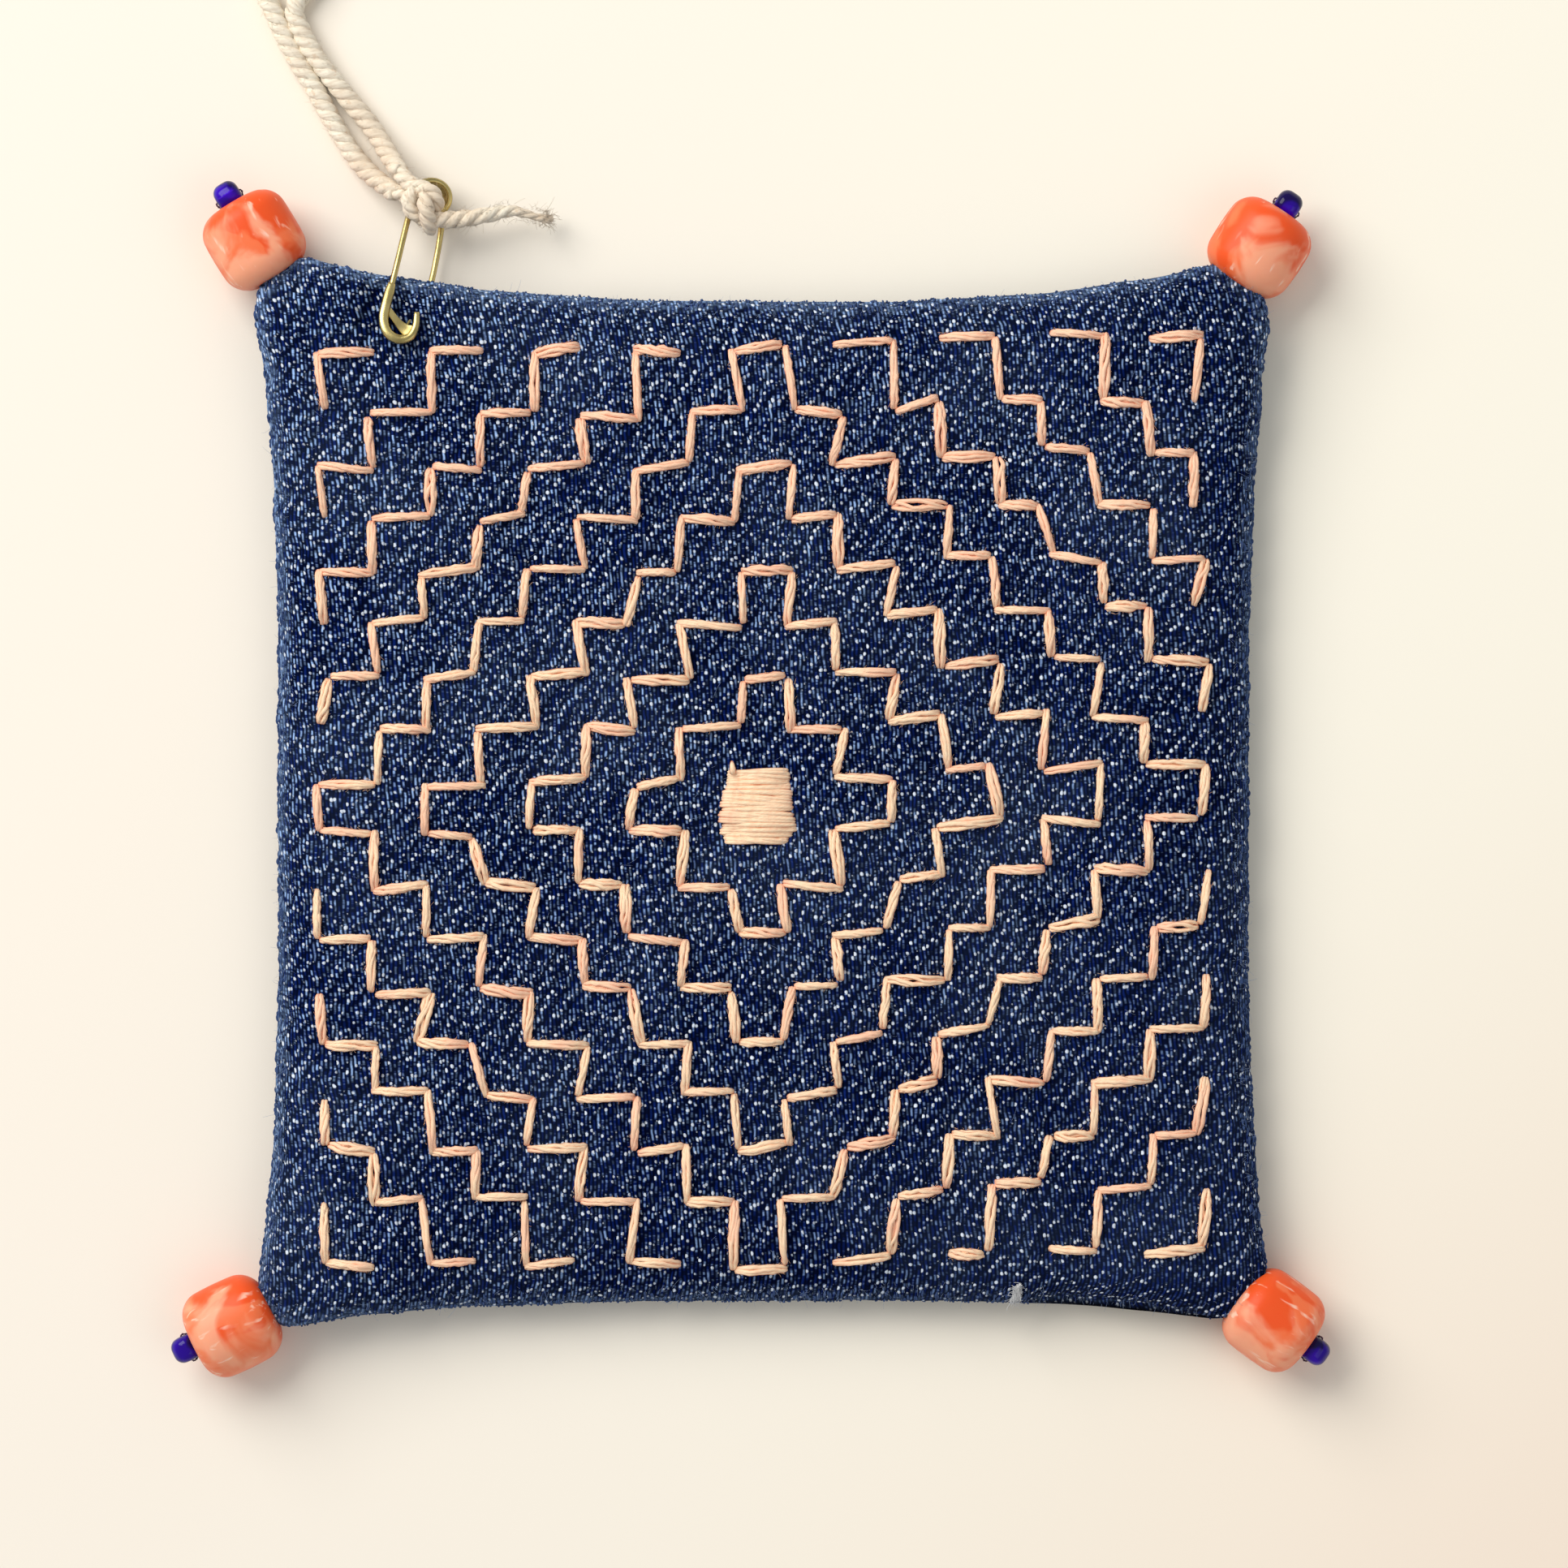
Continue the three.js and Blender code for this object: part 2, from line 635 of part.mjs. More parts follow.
// The room that the wire takes, in lengths short enough that none of them laps over itself in the coil.
function wireRooms() {
  const points = pinCurve().getSpacedPoints(PIN.steps);
  const beyondTip = points[0].clone().multiplyScalar(2).sub(points[1]);
  points.unshift(beyondTip);
  const steps = PIN.steps / PIN.lengths;
  return Array.from({ length: PIN.lengths }, (_, i) => {
    const length = points.slice(i * steps, (i + 1) * steps + 2);
    const curve = new THREE.CatmullRomCurve3(length, false, "centripetal");
    return solidOf(tube(curve, PIN.wire + CLEARANCE + 0.03, 8, steps + 1));
  });
}

function claspGeometry() {
  const band = new THREE.CatmullRomCurve3(CLASP_BAND.map(pinPoint), false, "centripetal");
  const section = roundShape(CLASP.bandHalfWidth, CLASP.bandHalfHeight, 8).getPoints();
  const rings = band.getPoints(CLASP.steps).map((point, i) => {
    const direction = band.getTangent(i / CLASP.steps).setZ(0).normalize();
    const side = new THREE.Vector3(-direction.y, direction.x, 0);
    return section.slice(0, 8).map((p) => {
      const corner = point.clone().addScaledVector(side, p.x);
      corner.z += p.y;
      return corner;
    });
  });
  const webRings = [WEB.up, WEB.up + WEB.thickness].map((up) => {
    return WEB_CORNERS.map(({ along, across }) => pinPoint({ along, across, up }));
  });
  return geometryOf(solidOf(skin(rings)).add(solidOf(skin(webRings))));
}

function safetyPin() {
  const group = new THREE.Group();
  group.add(meshOf("pin_wire", tube(pinCurve(), PIN.wire, PIN.sides, PIN.steps), FINISH.brass));
  group.add(meshOf("pin_clasp", claspGeometry(), FINISH.brass));
  return group;
}

// The cotton tie

function tieLoop() {
  const points = TIE_ROUTE.map(([x, y, z]) => new THREE.Vector3(x, y, z));
  return tube(new THREE.CatmullRomCurve3(points, false, "centripetal"), TIE.radius, TIE.sides, TIE.steps);
}

// The knot is tied through the pin's coil, so the wire's room is cut out of it.
function tieKnot() {
  const freeEnd = solidOf(taperedTube(FREE_END, TIE.sides));
  const lumps = KNOT_LUMPS.map(({ x, y, z, radius }) => {
    return solidOf(new THREE.SphereGeometry(radius, 9, 6).translate(x, y, z));
  });
  const whole = lumps.reduce((sum, lump) => sum.add(lump), freeEnd);
  const knot = wireRooms().reduce((left, room) => left.subtract(room), whole);
  const parts = knot.decompose().sort((a, b) => b.volume() - a.volume());
  return geometryOf(parts[0]);
}

const coaster = new THREE.Group();
const padCuts = [...CORNERS.flatMap(earCut), ...wireRooms()];
coaster.add(meshOf("denim_pad", padGeometry(padCuts), FINISH.denim));
coaster.add(embroidery());
for (const corner of CORNERS) coaster.add(cornerBeads(corner));
coaster.add(safetyPin());
coaster.add(meshOf("tie_loop", tieLoop(), FINISH.cotton));
coaster.add(meshOf("tie_knot", tieKnot(), FINISH.cotton));

export default coaster;
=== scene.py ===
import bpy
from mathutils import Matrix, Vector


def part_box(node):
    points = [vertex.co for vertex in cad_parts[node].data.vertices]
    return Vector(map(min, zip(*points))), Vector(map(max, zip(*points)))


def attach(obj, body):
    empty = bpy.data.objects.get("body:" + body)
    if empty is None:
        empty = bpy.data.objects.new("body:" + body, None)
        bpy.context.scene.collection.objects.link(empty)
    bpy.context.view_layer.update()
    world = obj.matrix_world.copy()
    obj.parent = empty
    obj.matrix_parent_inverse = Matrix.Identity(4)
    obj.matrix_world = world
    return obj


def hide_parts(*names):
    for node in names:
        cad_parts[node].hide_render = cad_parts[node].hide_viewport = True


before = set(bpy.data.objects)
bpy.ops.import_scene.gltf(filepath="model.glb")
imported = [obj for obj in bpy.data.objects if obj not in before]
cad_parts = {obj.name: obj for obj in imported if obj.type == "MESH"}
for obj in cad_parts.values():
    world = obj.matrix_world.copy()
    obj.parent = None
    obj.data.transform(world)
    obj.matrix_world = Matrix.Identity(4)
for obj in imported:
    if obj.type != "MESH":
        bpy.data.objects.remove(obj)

"""The looks of the embroidered denim coaster: its filled cushion, embroidery, corner beads, pin and tie."""

import logging
import math
import random
from dataclasses import dataclass, field
from enum import Enum
from typing import Callable, Iterable, Sequence

import bpy
import numpy as np
from mathutils import Vector, noise
from mathutils.bvhtree import BVHTree

LOG = logging.getLogger("coaster")
MM = 0.001
BODY = "root"
CLOTH_MAP = "cloth"
PLY_SHARE = {2: 0.56, 3: 0.58}
UP = Vector((0, 0, 1))

Point = tuple[float, float, float]
Colour = tuple[float, float, float, float]
Height = Callable[[float, float], float]
Holes = list[tuple[int, int]]


class Corner(Enum):
    """The four corners of the coaster, named as their nodes are."""

    FRONT_LEFT = "front_left"
    FRONT_RIGHT = "front_right"
    BACK_RIGHT = "back_right"
    BACK_LEFT = "back_left"


def linear(red: int, green: int, blue: int) -> Colour:
    """Turns a colour as seen on a screen, from 0 to 255, into linear light.

    Args:
        red: The red of the colour.
        green: The green of the colour.
        blue: The blue of the colour.

    Returns:
        The colour as Blender's shaders take it.
    """
    shares = [part / 255 for part in (red, green, blue)]
    light = [s / 12.92 if s <= 0.04045 else ((s + 0.055) / 1.055) ** 2.4 for s in shares]
    return (light[0], light[1], light[2], 1.0)


class Value:
    """What a node puts out, for sums with the usual signs."""

    def __init__(self, graph: "Graph", socket: bpy.types.NodeSocket) -> None:
        """Takes the graph and the node's output."""
        self.graph = graph
        self.socket = socket

    def other(self, key: int | str) -> "Value":
        """Returns another output of the same node."""
        return Value(self.graph, self.socket.node.outputs[key])

    def __add__(self, other: object) -> "Value":
        """Adds a value or a number."""
        return self.graph.math("ADD", self, other)

    def __sub__(self, other: object) -> "Value":
        """Takes away a value or a number."""
        return self.graph.math("SUBTRACT", self, other)

    def __mul__(self, other: object) -> "Value":
        """Multiplies by a value or a number."""
        return self.graph.math("MULTIPLY", self, other)

    def __truediv__(self, other: object) -> "Value":
        """Divides by a value or a number."""
        return self.graph.math("DIVIDE", self, other)

    def __pow__(self, power: float) -> "Value":
        """Raises the value to a power."""
        return self.graph.math("POWER", self, power)


class Graph:
    """Fills one node tree, a node at a time."""

    def __init__(self, tree: bpy.types.NodeTree) -> None:
        """Takes the node tree to fill."""
        self.tree = tree

    def feed(self, node: bpy.types.Node, inputs: dict) -> None:
        """Fills the inputs of a node.

        Args:
            node: The node.
            inputs: Each input by its name or number: a value, or a constant.
        """
        for key, value in inputs.items():
            if isinstance(value, Value):
                self.tree.links.new(value.socket, node.inputs[key])
            else:
                node.inputs[key].default_value = value

    def add(self, kind: str, inputs: dict | None = None, output: int | str = 0, **settings: object) -> Value:
        """Adds a node.

        Args:
            kind: The node's type.
            inputs: Each input by its name or number: a value, or a constant.
            output: Which of its outputs is wanted.
            **settings: The node's own settings.

        Returns:
            The wanted output.
        """
        node = self.tree.nodes.new(kind)
        for name, value in settings.items():
            setattr(node, name, value)
        self.feed(node, inputs or {})
        return Value(self, node.outputs[output])

    def math(self, operation: str, *values: object) -> Value:
        """Adds a Math node on the given values."""
        return self.add("ShaderNodeMath", dict(enumerate(values)), operation=operation)

    def vector(self, operation: str, first: object, second: object) -> Value:
        """Adds a Vector Math node on two vectors."""
        return self.add("ShaderNodeVectorMath", {0: first, 1: second}, operation=operation)

    def blend(self, share: object, first: object, second: object) -> Value:
        """Mixes two colours by a share from 0, the first, to 1, the second."""
        return self.add("ShaderNodeMix", {0: share, 6: first, 7: second}, 2, data_type="RGBA")

    def fade(self, value: object, low: float, high: float) -> Value:
        """Smoothly turns a value at low into 0 and at high into 1."""
        inputs = {"Value": value, "From Min": low, "From Max": high}
        return self.add("ShaderNodeMapRange", inputs, interpolation_type="SMOOTHSTEP")

    def noise(self, vector: object, scale: object, detail: float = 2, distortion: float = 0) -> Value:
        """Adds a Noise Texture of the given scale, in features to a metre."""
        inputs = {"Vector": vector, "Scale": scale, "Detail": detail, "Distortion": distortion}
        return self.add("ShaderNodeTexNoise", inputs)

    def group(self, tree: bpy.types.NodeTree, **inputs: object) -> Value:
        """Adds a shared group with the given inputs."""
        return self.add("ShaderNodeGroup", inputs, node_tree=tree)

    def place(self) -> Value:
        """Returns the place in the coaster's own frame."""
        return self.add("ShaderNodeTexCoord", output="Object")

    def along_cloth(self) -> Value:
        """Returns the place on the piece's own map, in metres along its surface."""
        return self.add("ShaderNodeUVMap", uv_map=CLOTH_MAP)

    def attribute(self, name: str, output: str = "Fac") -> Value:
        """Returns one of the piece's attributes."""
        return self.add("ShaderNodeAttribute", output=output, attribute_name=name)

    def turned_away(self, lean: float, low: float, high: float) -> Value:
        """Returns how far the surface turns away: 0 up to low, and 1 from high on."""
        return self.fade(self.add("ShaderNodeLayerWeight", {"Blend": lean}, "Facing"), low, high)

    def split(self, vector: object) -> tuple[Value, Value]:
        """Returns the first two parts of a vector."""
        first = self.add("ShaderNodeSeparateXYZ", {0: vector})
        return first, first.other(1)

    def join(self, x: object, y: object) -> Value:
        """Returns a vector of two parts."""
        return self.add("ShaderNodeCombineXYZ", {0: x, 1: y})

    def bump(self, height: object, distance: float, strength: float = 1.0) -> Value:
        """Returns a normal raised by a height, of the given distance in metres."""
        return self.add("ShaderNodeBump", {"Height": height, "Distance": distance, "Strength": strength})


def start_material(name: str) -> tuple[bpy.types.Material, Graph, bpy.types.Node]:
    """Makes an empty material with one shader.

    Args:
        name: The material's name.

    Returns:
        The material, its graph and its Principled shader.
    """
    material = bpy.data.materials.new(name)
    material.use_nodes = True
    return material, Graph(material.node_tree), material.node_tree.nodes["Principled BSDF"]


def shared_group(name: str, inputs: Sequence[str], output: str, fill: Callable) -> bpy.types.NodeTree:
    """Makes a node group with number inputs, a vector first, and one number output.

    Args:
        name: The group's name.
        inputs: The names of its number inputs, after the vector.
        output: The name of its output.
        fill: Takes the graph and the group's vector, and returns the output's value.

    Returns:
        The group.
    """
    tree = bpy.data.node_groups.new(name, "ShaderNodeTree")
    tree.interface.new_socket("Vector", in_out="INPUT", socket_type="NodeSocketVector")
    for label in inputs:
        tree.interface.new_socket(label, in_out="INPUT", socket_type="NodeSocketFloat")
    tree.interface.new_socket(output, in_out="OUTPUT", socket_type="NodeSocketFloat")
    graph = Graph(tree)
    made = fill(graph, graph.add("NodeGroupInput", output="Vector"))
    graph.feed(tree.nodes.new("NodeGroupOutput"), {output: made})
    return tree


def spun_hairs(graph: Graph, vector: Value) -> Value:
    """Fills the group for spun fibre: fine hairs along a yarn that lean with its twist.

    Args:
        graph: The group's graph.
        vector: The place on the yarn's map.

    Returns:
        The hairs' height.
    """
    around, along = graph.split(vector)
    turned = (around + along * vector.other("Lean")) * vector.other("Round")
    return graph.noise(graph.join(turned, along * vector.other("Along")), 1.0, 3)


def handling_marks(graph: Graph, vector: Value) -> Value:
    """Fills the group for handling marks: soft patches, from 0, clean, to 1."""
    return graph.fade(graph.noise(vector, vector.other("Scale"), 4), 0.4, 0.7)


@dataclass(frozen=True)
class DenimFinish:
    """Right-hand twill of indigo warp and undyed weft, with slubs, painted shade and painted glints on its
    yarns, and abraded pale edges, painted palest towards the back left as painted light.
    """

    warp_pitch: float = 0.425 * MM
    pick_pitch: float = 0.57 * MM
    repeat: int = 4
    lean: float = 0.07
    slub_scale: float = 420
    slub_pull: Point = (1.5, 1.1, 0)
    float_from: float = 0.8
    float_length: float = 3.4
    dot_half_width: float = 0.5
    dot_half_height: float = 0.4
    patch_scale: float = 55.0
    hair_scale: Point = (9000, 2600, 1)
    relief: float = 0.16 * MM
    deep: Colour = linear(2, 6, 28)
    mid: Colour = linear(10, 32, 98)
    # Pale blue for the painted glints, the abraded edge and dust.
    light: Colour = linear(156, 190, 240)
    weft: Colour = linear(226, 236, 250)
    # Painted shade for the open seam of the front edge.
    seam_shade: Colour = linear(3, 6, 18)

    def make(self, marks: bpy.types.NodeTree) -> bpy.types.Material:
        """Makes the denim.

        Args:
            marks: The group for handling marks.

        Returns:
            The material, which reads the cloth's own map and its attributes for the abraded pale edge, the
            painted glint light and the painted seam shade.
        """
        material, graph, shader = start_material("denim_twill")
        cloth = graph.along_cloth()
        drift = graph.vector("SUBTRACT", graph.noise(cloth, self.slub_scale, 3).other(1), (0.5,) * 3)
        pull_x, pull_y = graph.split(graph.vector("MULTIPLY", drift, self.slub_pull))
        x, y = graph.split(cloth)
        ends = (x + y * self.lean) / self.warp_pitch + pull_x
        picks = y / self.pick_pitch + pull_y
        end = graph.math("FLOOR", ends)
        across = graph.math("FRACT", ends) - 0.5
        run = picks - end
        phase = graph.math("FLOORED_MODULO", run, self.repeat)

        each_float = graph.join(end, graph.math("FLOOR", run / self.repeat))
        cell = graph.add("ShaderNodeTexWhiteNoise", {"Vector": each_float}, noise_dimensions="2D")
        chance, other_chance = graph.split(cell.other(1))
        far_x = (across - (other_chance * 0.7 - 0.35)) / self.dot_half_width
        far_y = (phase - (cell * 3.0 + 0.45)) / self.dot_half_height
        dot = graph.fade((far_x * far_x + far_y * far_y) / (chance * 1.1 + 0.16), 1.0, 0.3)

        round_yarn = graph.math("COSINE", across * math.pi)
        share = graph.math("MAXIMUM", (phase - self.float_from) / self.float_length, 0.0)
        arch = graph.math("MAXIMUM", graph.math("SINE", share * math.pi), 0.0) ** 0.35
        floated = arch * 0.7 + 0.3
        yarn = graph.add("ShaderNodeTexWhiteNoise", {"W": end}, noise_dimensions="1D")
        # Painted shade: each warp yarn darkens towards its sides and the ends of its floats, and its tone
        # differs at random from end to end.
        body_shade = round_yarn * floated * (yarn * 0.5 + 0.6)
        warp = graph.blend(body_shade**1.7, self.deep, self.mid)
        streak = graph.noise(graph.join(end * 7.31, picks), 1.0)
        narrow = round_yarn**3.4 * floated
        # Painted highlights: glints along the warp yarns, brighter towards the back left as painted light.
        glint = graph.fade(streak, 0.47, 0.6) * narrow * (other_chance * 0.7 + 0.3)
        warp = graph.blend(glint * graph.attribute("lit_glints"), warp, self.light)
        # The abraded pale edge, painted strongest towards the back left as painted light.
        worn_and_lit = graph.attribute("worn_and_lit") * graph.fade(streak, 0.3, 0.62)
        warp = graph.blend(worn_and_lit, warp, self.light)
        dusty = graph.group(marks, Vector=cloth, Scale=self.patch_scale) * 0.02
        warp = graph.blend(dusty, warp, self.light)
        colour = graph.blend(dot * (chance * 0.68 + 0.32), warp, self.weft)
        # Painted shade where the back panel shows in the open seam.
        colour = graph.blend(graph.attribute("seam_shade"), colour, self.seam_shade)

        hairs = graph.noise(graph.vector("MULTIPLY", cloth, self.hair_scale), 1.0, 3)
        height = round_yarn * (arch * 0.6 + 0.4) + dot * 0.35 + hairs * 0.35
        looks = {"Base Color": colour, "Normal": graph.bump(height, self.relief, 0.9)}
        graph.feed(shader, looks | {"Roughness": 0.9, "Specular IOR Level": 0.02})
        return material


@dataclass(frozen=True)
class YarnFinish:
    """A spun yarn: floss, sewing thread or cotton cord."""

    name: str
    colour: Colour
    shadow: Colour
    round_scale: float = 9.0
    along_scale: float = 1500.0
    lean: float = 260.0
    roughness: float = 0.6
    sheen: float = 0.2
    relief: float = 0.05 * MM
    fleck: Colour | None = None
    fleck_scale: float = 1300
    drift: Colour | None = None
    drift_from: float = 0.01
    drift_over: float = 0.03
    drift_scale: float = 160.0
    patch_scale: float = 160.0
    # How strongly painted shade darkens the sides that turn away.
    edge: float = 0.0
    # How strongly painted shade darkens the furrows between the fibres.
    furrow_shade: float = 0.55

    def make(self, fibre: bpy.types.NodeTree, marks: bpy.types.NodeTree) -> bpy.types.Material:
        """Makes the yarn's material.

        Args:
            fibre: The group for spun fibre.
            marks: The group for handling marks.

        Returns:
            The material, which reads the yarn's own map.
        """
        material, graph, shader = start_material(self.name)
        hairs = graph.group(
            fibre, Vector=graph.along_cloth(), Round=self.round_scale, Along=self.along_scale, Lean=self.lean
        )
        place = graph.place()
        uneven = graph.group(marks, Vector=place, Scale=self.patch_scale) * 0.14
        base = self.colour
        # Beyond drift_from along Y, and in slow random patches, the colour turns towards the drift colour: on
        # the floss the back rows turn pinker, partly the floss's own tone and partly painted light; on the
        # cotton the parts beyond 64 mm, most of the loop, turn lighter.
        if self.drift is not None:
            back = graph.fade(graph.split(place)[1], self.drift_from, self.drift_from + self.drift_over)
            slow = graph.fade(graph.noise(place, self.drift_scale), 0.45, 0.65)
            base = graph.blend(graph.math("MAXIMUM", back, slow) * 0.6, base, self.drift)
        # Painted shade in the furrows between the fibres, together with random uneven tone, darkens towards
        # the shadow colour.
        dark = graph.math("MAXIMUM", graph.fade(hairs, 0.62, 0.3) * self.furrow_shade, uneven)
        colour = graph.blend(dark, base, self.shadow)
        # Painted shade: the sides that turn away darken towards the shadow colour.
        colour = graph.blend(graph.turned_away(0.4, 0.32, 0.85) * self.edge, colour, self.shadow)
        if self.fleck is not None:
            spots = graph.fade(graph.noise(place, self.fleck_scale), 0.6, 0.72)
            colour = graph.blend(spots, colour, self.fleck)
        looks = {"Base Color": colour, "Normal": graph.bump(hairs, self.relief), "Roughness": self.roughness}
        graph.feed(shader, looks | {"Sheen Weight": self.sheen, "Specular IOR Level": 0.35})
        return material


@dataclass(frozen=True)
class GlassFinish:
    """Milky glass for a bead, streaked along its hole."""

    name: str
    body: Colour
    deep: Colour
    # The milky colour of the glass, also used for painted light that comes through its side away from the
    # lamp.
    milk_and_glow: Colour
    streak: Colour
    roughness: float = 0.3
    cloud: float = 0.45
    coat: float = 0.2
    gloss: float = 0.5
    # How strongly painted shade deepens the colour where the surface turns away.
    rim: float = 0.6

    def make(self) -> bpy.types.Material:
        """Makes the glass.

        Returns:
            The material, which reads the bead's own axes and its painted light-through side from its
            attributes.
        """
        material, graph, shader = start_material(self.name)
        axes = graph.attribute("axes", "Vector")
        slow = graph.noise(graph.vector("MULTIPLY", axes, (0.6, 1, 1)), 190, 2.5, 0.8)
        cloudy = graph.noise(graph.vector("ADD", axes, (0.31, 0.17, 0.05)), 170, 3.5, 0.7)
        fine = graph.noise(graph.vector("MULTIPLY", axes, (0.28, 1, 1)), 950, 2, 0.6)
        patch = graph.noise(graph.vector("ADD", axes, (0.11, 0.27, 0.43)), 220, 1)
        # Painted light: the side away from the lamp turns milkier, for light coming through the glass.
        side = graph.attribute("lit_through_side") * 0.2 - 0.1
        colour = graph.blend(graph.fade(slow - side, 0.47, 0.54), self.body, self.deep)
        colour = graph.blend(graph.fade(cloudy + side, 0.46, 0.64) * 0.78, colour, self.milk_and_glow)
        # Painted shade: the colour deepens where the surface turns away.
        colour = graph.blend(graph.turned_away(0.4, 0.3, 0.9) * self.rim, colour, self.deep)
        lines = graph.fade(fine, 0.58, 0.7) * graph.fade(patch, 0.43, 0.5)
        looks = {
            "Base Color": graph.blend(lines * 0.6, colour, self.streak),
            "Normal": graph.bump(slow, 0.1 * MM, 0.3),
            "Roughness": self.roughness,
            "Specular IOR Level": self.gloss,
            "Coat Weight": self.coat,
            "Coat Roughness": 0.12,
            "Subsurface Weight": self.cloud,
            "Subsurface Radius": (1.0, 0.4, 0.25),
            "Subsurface Scale": 1.6 * MM,
        }
        graph.feed(shader, looks)
        return material


@dataclass(frozen=True)
class BrassFinish:
    """Bright plated wire with drawing marks, random tarnished patches, and painted shade on the sides that
    turn away.
    """

    bright: Colour = linear(220, 199, 132)
    dull: Colour = linear(78, 61, 25)

    def make(self, marks: bpy.types.NodeTree) -> bpy.types.Material:
        """Makes the brass.

        Args:
            marks: The group for handling marks.

        Returns:
            The material.
        """
        material, graph, shader = start_material("plated_brass")
        place = graph.place()
        patches = graph.group(marks, Vector=place, Scale=300.0) * 0.5
        # Random tarnished patches, with painted shade on the sides that turn away.
        tarnish_and_edge_shade = graph.math("MAXIMUM", patches, graph.turned_away(0.45, 0.3, 0.85) * 0.9)
        scratches = graph.noise(graph.vector("MULTIPLY", place, (3, 1, 3)), 900)
        looks = {"Base Color": graph.blend(tarnish_and_edge_shade, self.bright, self.dull), "Metallic": 1.0}
        graph.feed(shader, looks | {"Roughness": scratches * 0.12 + 0.22})
        return material


@dataclass(frozen=True)
class TableFinish:
    """A smooth cream table top, with painted shade that darkens it a little on the left and makes it darker
    and warmer towards the front right.
    """

    left: Colour = linear(246, 237, 224)
    right: Colour = linear(250, 244, 229)
    warm_shade: Colour = linear(246, 226, 208)

    def make(self) -> bpy.types.Material:
        """Makes the table top's material.

        Returns:
            The material.
        """
        material, graph, shader = start_material("cream_table")
        x, y = graph.split(graph.place())
        # Painted shade: a little darker on the left, where the key lamp falls strongest.
        colour = graph.blend(graph.fade(x, -0.08, 0.08), self.left, self.right)
        # Painted shade: darker and warmer towards the front right.
        colour = graph.blend(graph.fade(x - y, 0.04, 0.22), colour, self.warm_shade)
        graph.feed(shader, {"Base Color": colour, "Roughness": 0.8, "Specular IOR Level": 0.2})
        return material


FLOSS = YarnFinish(
    "peach_floss",
    linear(255, 224, 187),
    linear(232, 134, 92),
    sheen=0.15,
    drift=linear(255, 199, 170),
    edge=0.95,
    furrow_shade=0.3,
)
THREAD = YarnFinish("purple_thread", linear(70, 28, 70), linear(28, 10, 34), roughness=0.45)
COTTON = YarnFinish(
    "undyed_cotton",
    linear(234, 217, 194),
    linear(206, 185, 160),
    along_scale=900.0,
    relief=0.1 * MM,
    roughness=0.9,
    fleck=linear(226, 204, 178),
    drift=linear(255, 254, 238),
    drift_from=0.064,
    drift_scale=70.0,
)
LINT = YarnFinish("denim_lint", linear(150, 172, 208), linear(90, 112, 160), roughness=0.9)
RIM = YarnFinish("indigo_yarn", linear(58, 82, 130), linear(8, 14, 38), roughness=0.9, sheen=0.0)
FILLING = YarnFinish("filling_fibre", linear(246, 246, 246), linear(214, 218, 226), roughness=0.9)
ORANGE = GlassFinish(
    "streaky_orange_glass",
    body=linear(241, 119, 72),
    deep=linear(236, 88, 34),
    milk_and_glow=linear(248, 178, 144),
    streak=linear(255, 222, 200),
    roughness=0.4,
    coat=0.0,
    gloss=0.25,
)
COBALT = GlassFinish(
    "cobalt_glass",
    body=linear(36, 0, 134),
    deep=linear(16, 0, 70),
    milk_and_glow=linear(58, 0, 186),
    streak=linear(80, 30, 220),
    roughness=0.1,
    cloud=0.0,
    gloss=0.12,
    rim=0.8,
)


class Finishes:
    """Every finish of the coaster, made once."""

    def __init__(self) -> None:
        """Makes the shared groups and then each material."""
        fibre = shared_group("spun_fibre", ("Round", "Along", "Lean"), "Height", spun_hairs)
        marks = shared_group("handling_marks", ("Scale",), "Mask", handling_marks)
        self.denim = DenimFinish().make(marks)
        yarns = (FLOSS, THREAD, COTTON, LINT, RIM, FILLING)
        self.floss, self.thread, self.cotton, self.lint, self.rim, self.filling = (
            yarn.make(fibre, marks) for yarn in yarns
        )
        self.orange, self.cobalt = ORANGE.make(), COBALT.make()
        self.brass = BrassFinish().make(marks)


def unit(rows: np.ndarray) -> np.ndarray:
    """Returns a vector, or each of several in rows, at unit length."""
    return rows / np.linalg.norm(rows, axis=-1, keepdims=True)


def metres(points: Iterable[Point]) -> list[Point]:
    """Turns places in millimetres into places in metres."""
    return [(x * MM, y * MM, z * MM) for x, y, z in points]


def reach_along(line: np.ndarray) -> np.ndarray:
    """Returns how far along a line each of its points lies."""
    return np.concatenate([[0.0], np.cumsum(np.linalg.norm(np.diff(line, axis=0), axis=1))])


def walk(line: np.ndarray, marks: np.ndarray) -> np.ndarray:
    """Returns the points that lie at the given distances along a line."""
    reach = reach_along(line)
    return np.stack([np.interp(marks, reach, part) for part in line.T], -1)


def ramp(value: np.ndarray, low: float, high: float) -> np.ndarray:
    """Turns values from low to high into 0 to 1, and keeps them there past the ends."""
    return np.clip((value - low) / (high - low), 0, 1)


def eased(share: np.ndarray) -> np.ndarray:
    """Eases shares from 0 to 1 in and out."""
    return share * share * (3 - 2 * share)


def circle(turn: np.ndarray, first: np.ndarray, second: np.ndarray) -> np.ndarray:
    """Returns the points at the given turns of a circle through two vectors."""
    return np.cos(turn)[..., None] * first + np.sin(turn)[..., None] * second


